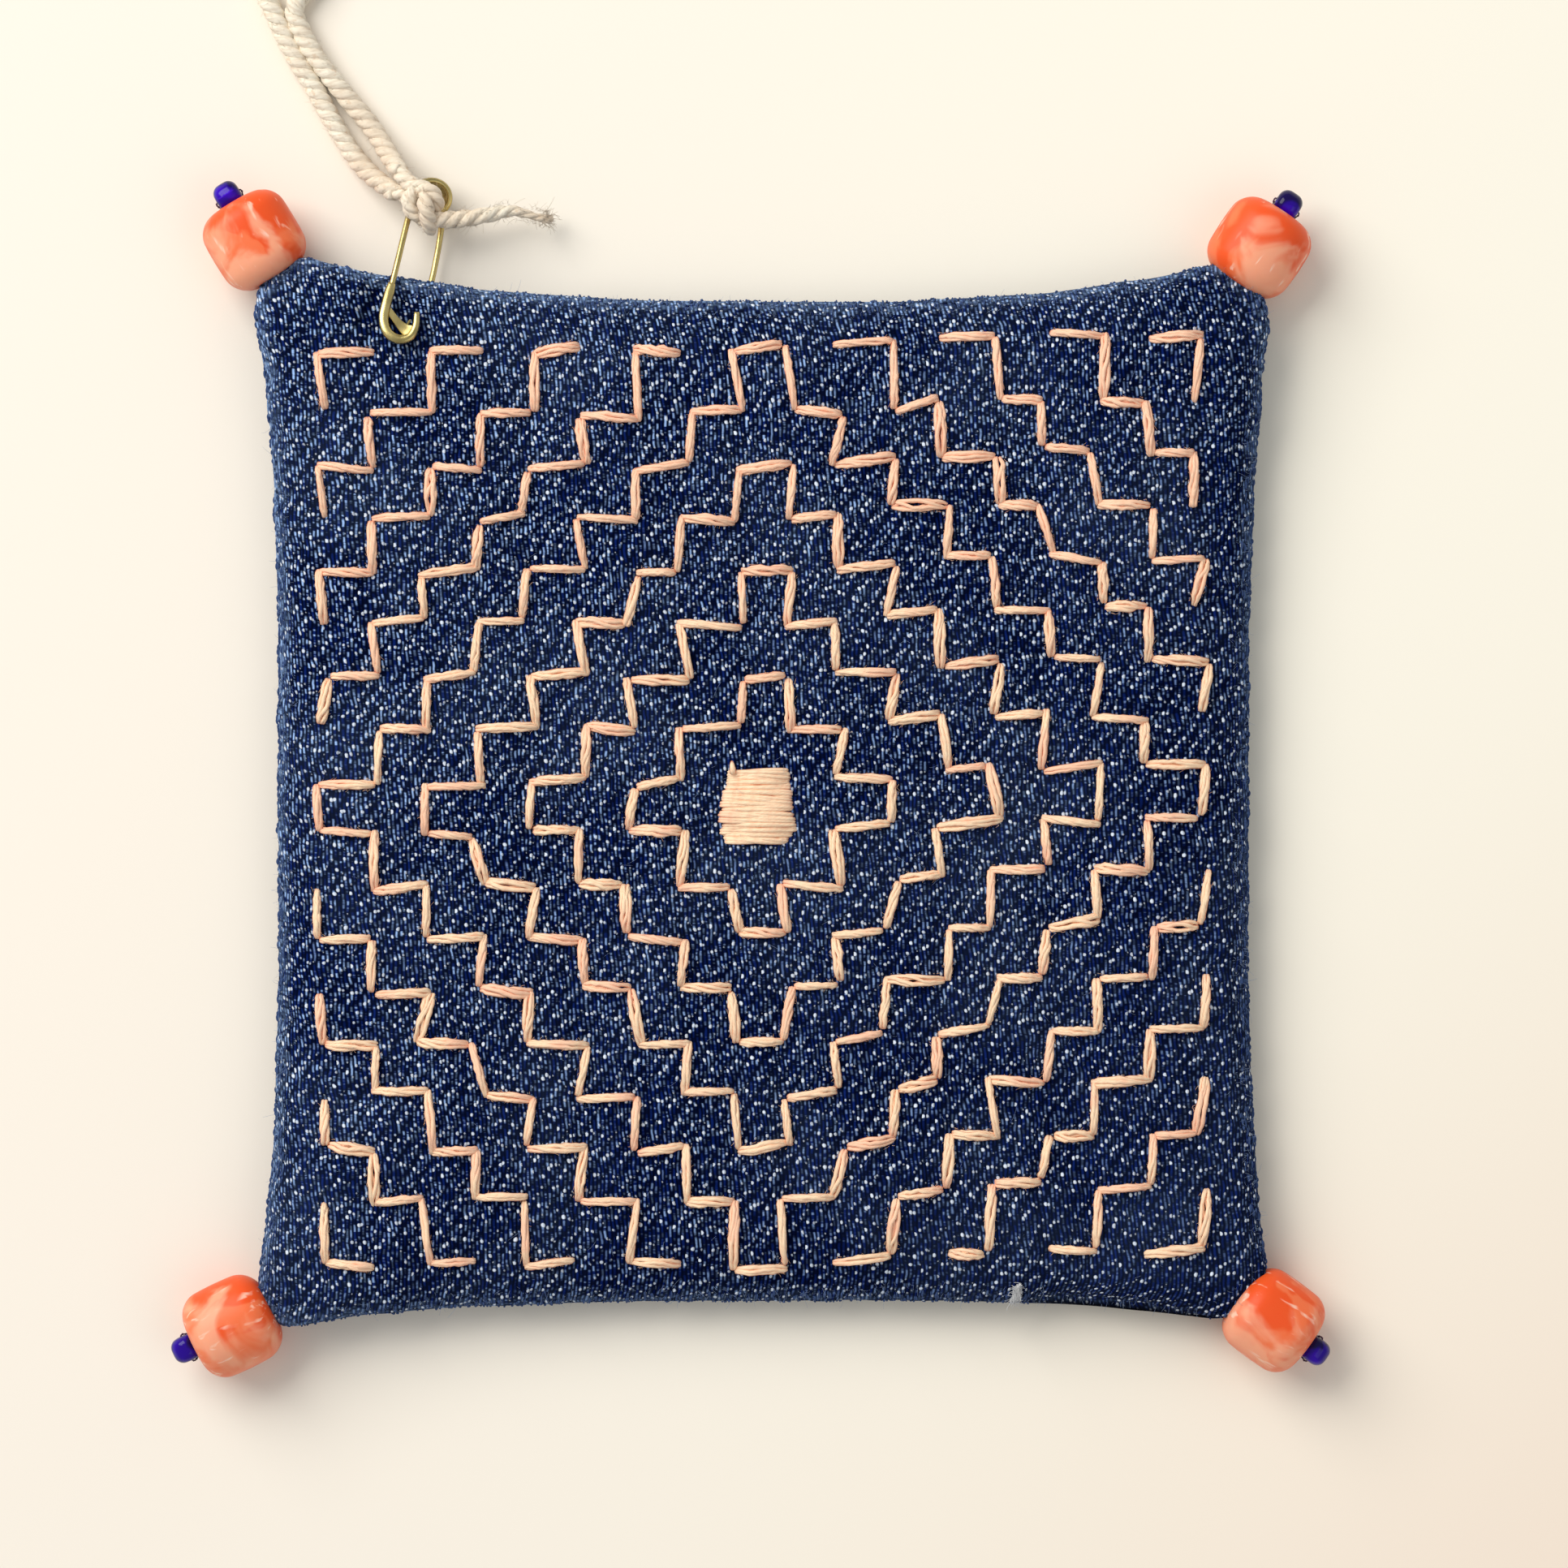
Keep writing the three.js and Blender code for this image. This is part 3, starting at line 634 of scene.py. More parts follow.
@dataclass
class MeshParts:
    """Points, faces and map places, gathered before they become one mesh."""

    points: list[np.ndarray] = field(default_factory=list)
    faces: list[np.ndarray] = field(default_factory=list)
    places: list[np.ndarray] = field(default_factory=list)
    count: int = 0

    def tube(self, centres: np.ndarray, radii: np.ndarray, sides: int, turn: float = 0.0) -> None:
        """Adds a closed tube.

        Args:
            centres: The points that the tube follows.
            radii: Its radius at each point.
            sides: How many sides it has.
            turn: The angle at which its first side lies.
        """
        rows = len(centres)
        tangents = unit(np.gradient(centres, axis=0))
        helper = np.array([1.0, 0.0, 0.0] if abs(tangents[0, 2]) > 0.9 else [0.0, 0.0, 1.0])
        normals = []
        for tangent in tangents:
            helper = unit(helper - tangent * (tangent @ helper))
            normals.append(helper)
        sideways = np.cross(tangents, normals)
        angles = turn + 2 * math.pi * np.arange(sides) / sides
        round_it = circle(angles, np.array(normals)[:, None], sideways[:, None])
        first = self.count
        self.points += [(centres[:, None] + radii[:, None, None] * round_it).reshape(-1, 3), centres[[0, -1]]]
        self.count += rows * sides + 2
        row, side = np.meshgrid(np.arange(rows - 1), np.arange(sides), indexing="ij")
        near, far = row * sides, (row + 1) * sides
        after = (side + 1) % sides
        quads = np.stack([near + side, near + after, far + after, far + side], -1)
        around = np.stack([side, side + 1, side + 1, side], -1) / sides
        along = reach_along(centres)[np.stack([row, row, row + 1, row + 1], -1)]
        ends = np.arange(sides)
        nexts = (ends + 1) % sides
        last = (rows - 1) * sides
        low = np.stack([nexts, ends, np.full(sides, rows * sides)], -1)
        high = np.stack([last + ends, last + nexts, np.full(sides, rows * sides + 1)], -1)
        self.faces += [first + quads.reshape(-1, 4), first + np.concatenate([low, high])]
        self.places.append(np.stack([around, along], -1).reshape(-1, 4, 2))
        self.places.append(np.tile([[0.0, 0.0], [0.5, 0.0], [0.2, 0.0]], (2 * sides, 1, 1)))

    def grid(self, grid: np.ndarray, places: np.ndarray, flip: bool) -> None:
        """Adds a sheet of quads over rows and columns of points.

        Args:
            grid: The points, by row and column.
            places: Where each of them lies on the map.
            flip: Whether the faces look the other way.
        """
        rows, columns = grid.shape[:2]
        index = self.count + np.arange(rows * columns).reshape(rows, columns)
        corners = [index[:-1, :-1], index[:-1, 1:], index[1:, 1:], index[1:, :-1]]
        spots = [places[:-1, :-1], places[:-1, 1:], places[1:, 1:], places[1:, :-1]]
        if flip:
            corners.reverse()
            spots.reverse()
        self.points.append(grid.reshape(-1, 3))
        self.faces.append(np.stack(corners, -1).reshape(-1, 4))
        self.places.append(np.stack(spots, -2).reshape(-1, 4, 2))
        self.count += rows * columns

    def make(self, name: str) -> bpy.types.Object:
        """Makes the mesh.

        Args:
            name: The object's name.

        Returns:
            The object, at the origin, with smooth faces and its own map.
        """
        mesh = bpy.data.meshes.new(name)
        points = np.concatenate(self.points)
        faces = [tuple(face) for block in self.faces for face in block.tolist()]
        mesh.from_pydata(points.tolist(), [], faces)
        layer = mesh.uv_layers.new(name=CLOTH_MAP)
        spots = np.concatenate([block.reshape(-1, 2) for block in self.places])
        layer.data.foreach_set("uv", spots.astype(np.float32).ravel())
        mesh.shade_smooth()
        piece = bpy.data.objects.new(name, mesh)
        bpy.context.scene.collection.objects.link(piece)
        return piece


def select_only(piece: bpy.types.Object, *others: bpy.types.Object) -> None:
    """Selects objects and deselects all the rest.

    Args:
        piece: The object that becomes the active one.
        *others: The objects selected with it.
    """
    bpy.ops.object.select_all(action="DESELECT")
    for chosen in (piece, *others):
        chosen.select_set(True)
    bpy.context.view_layer.objects.active = piece


def clear_selection(kind: str) -> None:
    """Leaves none of the active object's elements selected in edit mode.

    Args:
        kind: The kind of element that edit mode selects from now on.
    """
    bpy.ops.object.mode_set(mode="EDIT")
    bpy.ops.mesh.select_mode(type=kind)
    bpy.ops.mesh.select_all(action="DESELECT")
    bpy.ops.object.mode_set(mode="OBJECT")


def close_up(piece: bpy.types.Object, distance: float) -> None:
    """Merges the points of a piece that nearly touch.

    Args:
        piece: The piece, which becomes the active one.
        distance: How near they lie.
    """
    select_only(piece)
    bpy.ops.object.mode_set(mode="EDIT")
    bpy.ops.mesh.select_all(action="SELECT")
    bpy.ops.mesh.remove_doubles(threshold=distance)
    bpy.ops.object.mode_set(mode="OBJECT")


def face_outward() -> None:
    """Turns the faces of the active object outward, and ends its edit mode."""
    bpy.ops.mesh.select_all(action="SELECT")
    bpy.ops.mesh.normals_make_consistent(inside=False)
    bpy.ops.object.mode_set(mode="OBJECT")


def refine(piece: bpy.types.Object, level: int) -> None:
    """Rounds a piece by subdivision.

    Args:
        piece: The piece, which becomes the active one.
        level: How often each face is divided.
    """
    finer = piece.modifiers.new("finer", "SUBSURF")
    finer.levels = level
    finer.render_levels = level
    select_only(piece)
    bpy.ops.object.modifier_apply(modifier="finer")


def read_points(piece: bpy.types.Object) -> np.ndarray:
    """Reads the points of a piece.

    Args:
        piece: The piece.

    Returns:
        Its points, one a row.
    """
    places = np.empty(len(piece.data.vertices) * 3)
    piece.data.vertices.foreach_get("co", places)
    return places.reshape(-1, 3)


def move_points(piece: bpy.types.Object, places: np.ndarray) -> None:
    """Moves the points of a piece to the given places."""
    piece.data.vertices.foreach_set("co", places.ravel())
    piece.data.update()


def fit_out(
    piece: bpy.types.Object, slot: str, material: bpy.types.Material, *nodes: str
) -> bpy.types.Object:
    """Dresses a piece and puts it in place of the nodes that it shows.

    Args:
        piece: The finished piece.
        slot: The name of its slot, which is not used.
        material: Its finish.
        *nodes: The nodes that it replaces.

    Returns:
        The piece.
    """
    piece.data.materials.clear()
    piece.data.materials.append(material)
    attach(piece, BODY)
    if nodes:
        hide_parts(*nodes)
    stood_for = ", ".join(nodes) or "nothing"
    LOG.info("%s: %d faces, in place of %s", piece.name, len(piece.data.polygons), stood_for)
    return piece


def smooth_route(points: Sequence[Point], steps: int) -> np.ndarray:
    """Runs a smooth line through points.

    Args:
        points: The points of the route, in metres.
        steps: How many steps lie between two of them.

    Returns:
        The points of the line.
    """
    knots = np.array(points, float)
    ends = [2 * knots[0] - knots[1], *knots, 2 * knots[-1] - knots[-2]]
    line = []
    for before, start, stop, after in zip(ends, ends[1:], ends[2:], ends[3:]):
        for t in np.arange(steps) / steps:
            bend = (2 * before - 5 * start + 4 * stop - after) * t**2
            swing = (3 * start - before - 3 * stop + after) * t**3
            line.append(0.5 * (2 * start + (stop - before) * t + bend + swing))
    line.append(knots[-1])
    return np.array(line)


def even_route(line: np.ndarray, step: float) -> np.ndarray:
    """Walks a line in even steps.

    Args:
        line: The points of the line.
        step: The length of a step, in metres.

    Returns:
        The points, evenly apart.
    """
    length = reach_along(line)[-1]
    return walk(line, np.linspace(0, length, max(3, round(length / step))))


def plied(
    parts: MeshParts, line: np.ndarray, radius: np.ndarray, plies: int, turns: float, sides: int
) -> None:
    """Adds plies twisted round a line.

    Args:
        parts: The mesh that gets them.
        line: The line's points, evenly apart.
        radius: The whole cord's radius at each point.
        plies: How many plies there are.
        turns: How many turns they make over the line.
        sides: How many sides each ply has.
    """
    tangents = unit(np.gradient(line, axis=0))
    sideways = np.cross(tangents, [0.0, 0.0, 1.0])
    sideways /= np.linalg.norm(sideways, axis=1, keepdims=True) + 1e-9
    upward = np.cross(sideways, tangents)
    share = np.linspace(0, 1, len(line))
    ply = radius * PLY_SHARE[plies]
    for k in range(plies):
        angle = 2 * math.pi * (turns * share + k / plies)
        parts.tube(line + (radius - ply)[:, None] * circle(angle, sideways, upward), ply, sides)


def add_lint(
    parts: MeshParts, roots: np.ndarray, outward: np.ndarray, length: float, radius: float, seed: int
) -> None:
    """Adds short stray fibres.

    Args:
        parts: The mesh that gets them.
        roots: Where each fibre starts.
        outward: The way that each of them stands out.
        length: About how long they are.
        radius: How thick they are.
        seed: The seed for their differences.
    """
    chance = np.random.default_rng(seed)
    for root, way in zip(roots, outward):
        reach = length * chance.uniform(0.35, 1.0)
        bend = chance.normal(0, 0.55, 3)
        curl = chance.normal(0, 0.6, 3)
        t = np.linspace(0, 1, 5)[:, None]
        line = root + reach * (way * t + bend * t**2 * 0.7 + curl * (t**3 - t**2) * 0.9)
        parts.tube(line, radius * (1 - 0.5 * t[:, 0]), 3)


def ray_tree(mesh: bpy.types.Mesh) -> BVHTree:
    """Makes the tree that finds where a line meets a mesh."""
    faces = [tuple(face.vertices) for face in mesh.polygons]
    return BVHTree.FromPolygons([vertex.co.copy() for vertex in mesh.vertices], faces)


@dataclass
class Cushion:
    """The filled denim cushion, with its puffed face, grooved seam, abraded edge painted palest towards the
    back left, and lint.
    """

    crown: float = 7.6 * MM
    seam: float = 2.7 * MM
    ear_seam: float = 4.5 * MM
    near_radius: float = 52 * MM
    far_radius: float = 71 * MM
    fullness: float = 7.0
    roundness: float = 2.3
    ear_from: float = 64 * MM
    ear_fullness: float = 16.0
    ear_roundness: float = 2.8
    flat_share: float = 0.82
    cells: int = 96
    edge_rows: tuple[float, ...] = (0.0, 0.0022, 0.0055, 0.0085)
    edge_to: float = 0.0125
    probe: float = 0.1
    probe_heights: tuple[float, ...] = (2.2, 2.7, 3.2, 3.7, 4.2, 4.8)
    puff_cap: float = 1.0 * MM
    nap: float = 0.3 * MM
    clasp_reach: float = 1.3 * MM
    clasp_room: float = 0.45 * MM
    groove: float = 0.55 * MM
    gap_from: float = 27.0 * MM
    gap_to: float = 47.6 * MM
    gap_depth: float = 1.35 * MM
    dimple_width: float = 0.55 * MM
    dimple_depth: float = 0.42 * MM
    hole_reach: float = 0.75 * MM
    hole_hold: float = 0.9
    wave_depth: float = 0.5 * MM
    wave_scale: float = 90.0
    sectors: int = 240
    edge_lint: int = 1700
    face_lint: int = 500
    rim_count: int = 1900
    tuft_count: int = 260
    sim_scale: float = 10.0
    sim_frames: int = 20
    sim_settings: tuple[tuple[str, float | bool | str], ...] = (
        ("quality", 5),
        ("mass", 0.25),
        ("tension_stiffness", 12),
        ("compression_stiffness", 12),
        ("shear_stiffness", 6),
        ("bending_stiffness", 0.08),
        ("vertex_group_mass", "held"),
        ("shrink_min", -0.022),
        ("use_pressure", True),
        ("uniform_pressure_force", 5.0),
    )
    ears: tuple[Point, ...] = (
        (-49.0, -50.8, 3.8),
        (46.8, -48.5, 5.5),
        (46.3, 49.5, 6.3),
        (-47.9, 51.5, 5.1),
    )

    def __post_init__(self) -> None:
        """Reads the outline from the cushion's solid, and rounds its ears off where the beads leave room."""
        tree = ray_tree(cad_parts["denim_pad"].data)
        self.angles = np.linspace(-math.pi, math.pi, 721)
        self.radii = np.array([self.reach(tree, angle) for angle in self.angles])
        ways = np.stack([np.cos(self.angles), np.sin(self.angles)], -1)
        for x, y, radius in self.ears:
            middle = np.array([x, y]) * MM
            ahead = ways @ middle
            inside = (radius * MM) ** 2 - middle @ middle + ahead**2
            arc = np.where((inside > 0) & (ahead > 0), ahead + np.sqrt(np.maximum(inside, 0)), 0)
            self.radii = np.maximum(self.radii, arc)
        self.faces_up: BVHTree | None = None

    def reach(self, tree: BVHTree, angle: float) -> float:
        """Finds how far the solid reaches in one direction.

        Args:
            tree: The solid's faces.
            angle: The direction, in radians from +X.

        Returns:
            The largest distance from the middle to the solid's side.
        """
        way = Vector((math.cos(angle), math.sin(angle), 0))
        found = 0.0
        for height in self.probe_heights:
            hit = tree.ray_cast(way * self.probe + UP * height * MM, -way)[0]
            if hit is not None:
                found = max(found, hit.xy.length)
        return found

    def outline(self, angle: np.ndarray) -> np.ndarray:
        """Returns the outline's distance from the middle at each angle."""
        return np.interp(angle, self.angles, self.radii)

    def side_points(self, start: float, stop: float, marks: np.ndarray) -> np.ndarray:
        """Places points along one side.

        Args:
            start: The angle of the side's first corner.
            stop: The angle of its second corner.
            marks: Where the points lie, as shares of the side's length.

        Returns:
            The points, in X and Y.
        """
        sweep = np.linspace(start, stop, 400)
        wrapped = (sweep + math.pi) % (2 * math.pi) - math.pi
        radius = self.outline(wrapped)
        line = np.stack([radius * np.cos(sweep), radius * np.sin(sweep)], -1)
        return walk(line, marks * reach_along(line)[-1])

    def flat_grid(self) -> np.ndarray:
        """Fills the outline with rows and columns that follow its sides.

        Returns:
            The points in X and Y, by row from the front and column from the left.
        """
        inner = np.linspace(self.edge_to, 1 - self.edge_to, self.cells - 5)
        edge = np.array(self.edge_rows)
        marks = np.concatenate([edge, inner, 1 - edge[::-1]])
        turns = {}
        for corner in Corner:
            low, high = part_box(f"barrel_bead_{corner.value}")
            turns[corner] = math.atan2(low[1] + high[1], low[0] + high[0])
        front = self.side_points(turns[Corner.FRONT_LEFT], turns[Corner.FRONT_RIGHT], marks)
        right = self.side_points(turns[Corner.FRONT_RIGHT], turns[Corner.BACK_RIGHT], marks)
        back = self.side_points(turns[Corner.BACK_LEFT], turns[Corner.BACK_RIGHT], marks)
        left = self.side_points(turns[Corner.FRONT_LEFT] + 2 * math.pi, turns[Corner.BACK_LEFT], marks)
        s = marks[None, :, None]
        t = marks[:, None, None]
        between = (1 - t) * front[None] + t * back[None] + (1 - s) * left[:, None] + s * right[:, None]
        front_ends = (1 - s) * front[0] + s * front[-1]
        back_ends = (1 - s) * back[0] + s * back[-1]
        return between - (1 - t) * front_ends - t * back_ends

    def shares(self, flat: np.ndarray) -> tuple[np.ndarray, np.ndarray]:
        """Returns how far out each point lies as a share of the outline, and the outline there."""
        edge = self.outline(np.arctan2(flat[..., 1], flat[..., 0]))
        return np.clip(np.linalg.norm(flat, axis=-1) / edge, 0, 1), edge

    def seam_height(self, edge: np.ndarray) -> np.ndarray:
        """Returns the seam's height where the outline is that far from the middle."""
        rise = ramp(edge, self.near_radius, self.far_radius)
        return self.seam + (self.ear_seam - self.seam) * rise

    def top_height(self, flat: np.ndarray) -> np.ndarray:
        """Shapes the embroidered face.

        Args:
            flat: Points in X and Y.

        Returns:
            The height of the face over each of them.
        """
        share, edge = self.shares(flat)
        seam = self.seam_height(edge)
        ear = ramp(edge, self.ear_from, self.far_radius)
        fullness = self.fullness + (self.ear_fullness - self.fullness) * ear
        roundness = self.roundness + (self.ear_roundness - self.roundness) * ear
        return seam + (self.crown - seam) * (1 - share**fullness) ** (1 / roundness)

    def under_height(self, flat: np.ndarray) -> np.ndarray:
        """Shapes the underside, flat but for its rolled edge.

        Args:
            flat: Points in X and Y.

        Returns:
            The height of the underside over each of them.
        """
        share, edge = self.shares(flat)
        out = ramp(share, self.flat_share, 1)
        return self.seam_height(edge) * (1 - np.sqrt(1 - out**2))

    @staticmethod
    def cloth_places(grid: np.ndarray) -> np.ndarray:
        """Measures the cloth along its rows and columns.

        Args:
            grid: The points, by row and column.

        Returns:
            Where each point lies on the flat cloth, in metres from its middle.
        """
        across = np.linalg.norm(np.diff(grid, axis=1), axis=-1)
        along = np.linalg.norm(np.diff(grid, axis=0), axis=-1)
        u = np.concatenate([np.zeros((len(grid), 1)), np.cumsum(across, axis=1)], 1)
        v = np.concatenate([np.zeros((1, grid.shape[1])), np.cumsum(along, axis=0)], 0)
        middle = len(grid) // 2
        u -= u[:, middle : middle + 1]
        v -= v[middle : middle + 1, :]
        return np.stack([u, v], -1)

    def swell(self, piece: bpy.types.Object, held: np.ndarray) -> np.ndarray:
        """Fills the cushion with Blender's cloth simulation.

        Args:
            piece: The closed cushion.
            held: For each point, 1 where the stitching or the table holds it, and 0 where it is free.

        Returns:
            Where each point comes to lie, with its movement capped.
        """
        rest = read_points(piece)
        trial = bpy.data.objects.new("swelling_cushion", piece.data.copy())
        scene = bpy.context.scene
        scene.collection.objects.link(trial)
        move_points(trial, rest * self.sim_scale)
        group = trial.vertex_groups.new(name="held")
        for level in np.unique(held[held > 0]):
            group.add(np.flatnonzero(held == level).tolist(), float(level), "REPLACE")
        cloth = trial.modifiers.new("filling", "CLOTH")
        for name, value in self.sim_settings:
            setattr(cloth.settings, name, value)
        cloth.settings.effector_weights.gravity = 0
        for number in range(1, self.sim_frames + 1):
            scene.frame_set(number)
        select_only(trial)
        bpy.ops.object.modifier_apply(modifier="filling")
        moved = read_points(trial) / self.sim_scale - rest
        scene.frame_set(1)
        bpy.data.objects.remove(trial)
        reach = np.linalg.norm(moved, axis=1, keepdims=True)
        LOG.info("the filling moved the cloth by up to %.2f mm", reach.max() / MM)
        return rest + moved * np.minimum(1, self.puff_cap / np.maximum(reach, 1e-9))

    def build(self, holes: np.ndarray) -> bpy.types.Object:
        """Makes the cushion.

        Args:
            holes: The places of the stitch holes, in X and Y.

        Returns:
            The cushion as one closed mesh.
        """
        flat = self.flat_grid()
        top = np.concatenate([flat, self.top_height(flat)[..., None]], -1)
        under = np.concatenate([flat, self.under_height(flat)[..., None]], -1)
        parts = MeshParts()
        parts.grid(top, self.cloth_places(top), False)
        parts.grid(under, self.cloth_places(under), True)
        piece = parts.make("denim_cushion")
        self.mark_cloth(piece, flat, top, under)
        close_up(piece, 0.002 * MM)
        places = read_points(piece)
        share, edge = self.shares(places[:, :2])
        is_under = places[:, 2] < self.seam_height(edge) - 0.05 * MM
        held = np.where(is_under | (share > 0.9995), 1.0, 0.0)
        reach = np.sqrt(((places[:, None, :2] - holes[None]) ** 2).sum(-1)).min(1)
        held[(reach < self.hole_reach) & ~is_under] = self.hole_hold
        places = self.swell(piece, held)
        move_points(piece, self.close_seam(places))
        refine(piece, 1)
        self.reach_outline(piece)
        self.dimple(piece, holes)
        piece.data.shade_smooth()
        self.faces_up = ray_tree(piece.data)
        return piece

    def in_gap(self, x: np.ndarray, y: np.ndarray) -> np.ndarray:
        """Finds the part of the front edge whose face is set back.

        Args:
            x: How far right each point lies.
            y: How far back each point lies.

        Returns:
            How far each of them lies in that part, from 0 to 1.
        """
        middle = (self.gap_from + self.gap_to) / 2
        half = (self.gap_to - self.gap_from) / 2
        return np.clip(1 - ((x - middle) / half) ** 4, 0, 1) * (y < -40 * MM)

    def mark_cloth(
        self, piece: bpy.types.Object, flat: np.ndarray, top: np.ndarray, under: np.ndarray
    ) -> None:
        """Notes the denim's abraded pale edge, painted palest towards the back left, the painted light that
        brightens its glints towards the back left, and the painted shade where the back panel shows in the
        open seam.

        Args:
            piece: The cushion, before its seam is closed.
            flat: The points of its outline's grid.
            top: The points of its face.
            under: The points of its underside.
        """
        share, edge = self.shares(flat)
        x, y = flat[..., 0], flat[..., 1]
        lit = np.clip((y - x) / (2 * self.near_radius), -1, 1)
        # Real wearing at the edge, painted strongest towards the back left and gone at the front right, as
        # painted light.
        wear_and_light = np.exp(-(((1 - share) / 0.018) ** 2)) * (0.3 + 0.3 * lit)
        # Painted light: the glints are brighter towards the back left and dimmer towards the front right.
        lit_glints = 0.95 + 0.68 * lit
        seam = self.seam_height(edge)
        # Painted shade: where the back panel shows in the open seam of the front edge.
        seam_shade = self.in_gap(x, y) * ramp(share, 0.9, 0.98)
        low = seam_shade * (under[..., 2] < seam + 1 * MM)
        high = seam_shade * (top[..., 2] < seam + 0.25 * MM)
        for name, above, below in (("worn_and_lit", wear_and_light, wear_and_light), ("lit_glints", lit_glints, lit_glints), ("seam_shade", high, low)):
            values = np.concatenate([above.ravel(), below.ravel()]).astype(np.float32)
            piece.data.attributes.new(name, "FLOAT", "POINT").data.foreach_set("value", values)

    def close_seam(self, places: np.ndarray) -> np.ndarray:
        """Draws the seam in as a groove, and sets the face back where the photo shows the back panel.

        Args:
            places: The cushion's points.

        Returns:
            The points with the seam closed.
        """
        share, edge = self.shares(places[:, :2])
        outward = places[:, :2] / np.maximum(np.linalg.norm(places[:, :2], axis=1, keepdims=True), 1e-9)
        waves = np.array([noise.noise(Vector(p) * self.wave_scale) for p in places])
        rolled = ramp(share, 0.93, 1)
        inward = np.where(share > 0.9985, self.groove, 0.0) - waves * rolled * self.wave_depth
        seam = self.seam_height(edge)
        along = self.in_gap(places[:, 0], places[:, 1])
        face_part = ramp(places[:, 2], seam, seam + 0.4 * MM)
        inward = inward + self.gap_depth * along * face_part * rolled
        moved = places.copy()
        moved[:, :2] -= outward * inward[:, None]
        return moved

    def reach_outline(self, piece: bpy.types.Object) -> None:
        """Eases the rolled edge out until, seen from above, it reaches the outline.

        Args:
            piece: The cushion.
        """
        places = read_points(piece)
        angle = np.arctan2(places[:, 1], places[:, 0])
        share = np.linalg.norm(places[:, :2], axis=1) / self.outline(angle)
        sector = ((angle + math.pi) / (2 * math.pi) * self.sectors).astype(int) % self.sectors
        reach = np.zeros(self.sectors)
        np.maximum.at(reach, sector, share)
        wide = np.concatenate([reach[-2:], reach, reach[:2]])
        reach = np.convolve(wide, np.ones(5) / 5, "valid")
        middles = -math.pi + (np.arange(-1, self.sectors + 1) + 0.5) * 2 * math.pi / self.sectors
        growth = np.interp(angle, middles, np.concatenate([reach[-1:], reach, reach[:1]]))
        growth = growth * self.near_radius / (self.near_radius + self.nap)
        places[:, :2] *= (1 + (1 / growth - 1) * eased(ramp(share, 0.7, 0.95)))[:, None]
        LOG.info("the edge is eased out by up to %.2f mm", (1 / reach.min() - 1) * self.near_radius / MM)
        move_points(piece, places)

    def dimple(self, piece: bpy.types.Object, holes: np.ndarray) -> None:
        """Presses the face in at each stitch hole.

        Args:
            piece: The cushion.
            holes: The places of the stitch holes.
        """
        places = read_points(piece)
        face = np.flatnonzero(places[:, 2] > 5 * MM)
        for block in np.array_split(face, 1 + len(face) // 4000):
            reach = ((places[block, None, :2] - holes[None]) ** 2).sum(-1)
            pressed = np.exp(-reach / (2 * self.dimple_width**2)).max(1)
            places[block, 2] -= self.dimple_depth * pressed
        self.bed_clasp(places)
        move_points(piece, places)

    def bed_clasp(self, places: np.ndarray) -> None:
        """Presses the face down where the pin's clasp lies on it.

        Args:
            places: The cushion's points, which are moved.
        """
        clasp = np.array([tuple(v.co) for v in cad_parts["pin_clasp"].data.vertices])
        low, high = clasp.min(0) - 4 * self.clasp_reach, clasp.max(0) + 4 * self.clasp_reach
        inside = ((places[:, :2] > low[:2]) & (places[:, :2] < high[:2])).all(1)
        inside &= places[:, 2] > self.ear_seam
        near = np.flatnonzero(inside)
        apart = ((places[near, None, :2] - clasp[None, :, :2]) ** 2).sum(-1)
        closest = np.sqrt(apart.min(1))
        under = clasp[apart.argmin(1), 2]
        apart = np.where(apart < (2 * self.clasp_reach) ** 2, clasp[None, :, 2], np.inf)
        floor = np.minimum(apart.min(1), under) - self.clasp_room
        slack = np.maximum(closest - self.clasp_reach, 0) * 0.7
        places[near, 2] = np.minimum(places[near, 2], floor + slack)

    def face_height(self, x: float, y: float) -> float:
        """Returns the height of the finished face over a point."""
        hit = self.faces_up.ray_cast(Vector((x, y, self.probe)), -UP)[0]
        return hit.z if hit is not None else self.seam

    def lint(self) -> bpy.types.Object:
        """Makes the stray fibres that stand out along the edge and off the face.

        Returns:
            The fibres as one mesh.
        """
        chance = np.random.default_rng(11)
        turn = chance.uniform(-math.pi, math.pi, self.edge_lint + self.face_lint)
        near_edge = chance.uniform(0.965, 1.0, self.edge_lint)
        share = np.concatenate([near_edge, chance.uniform(0.05, 0.96, self.face_lint)])
        radius = self.outline(turn) * share
        flat = np.stack([radius * np.cos(turn), radius * np.sin(turn)], -1)
        roots = []
        ways = []
        for (x, y), edge_share in zip(flat, share):
            hit, normal, _, _ = self.faces_up.ray_cast(Vector((x, y, self.probe)), -UP)
            if hit is None:
                continue
            spread = chance.normal(0, 0.45 if edge_share > 0.96 else 0.9, 3)
            roots.append(np.array(hit))
            ways.append(np.array(normal) + spread)
        parts = MeshParts()
        add_lint(parts, np.array(roots), np.array(ways), 0.8 * MM, 0.016 * MM, 12)
        return parts.make("denim_lint")

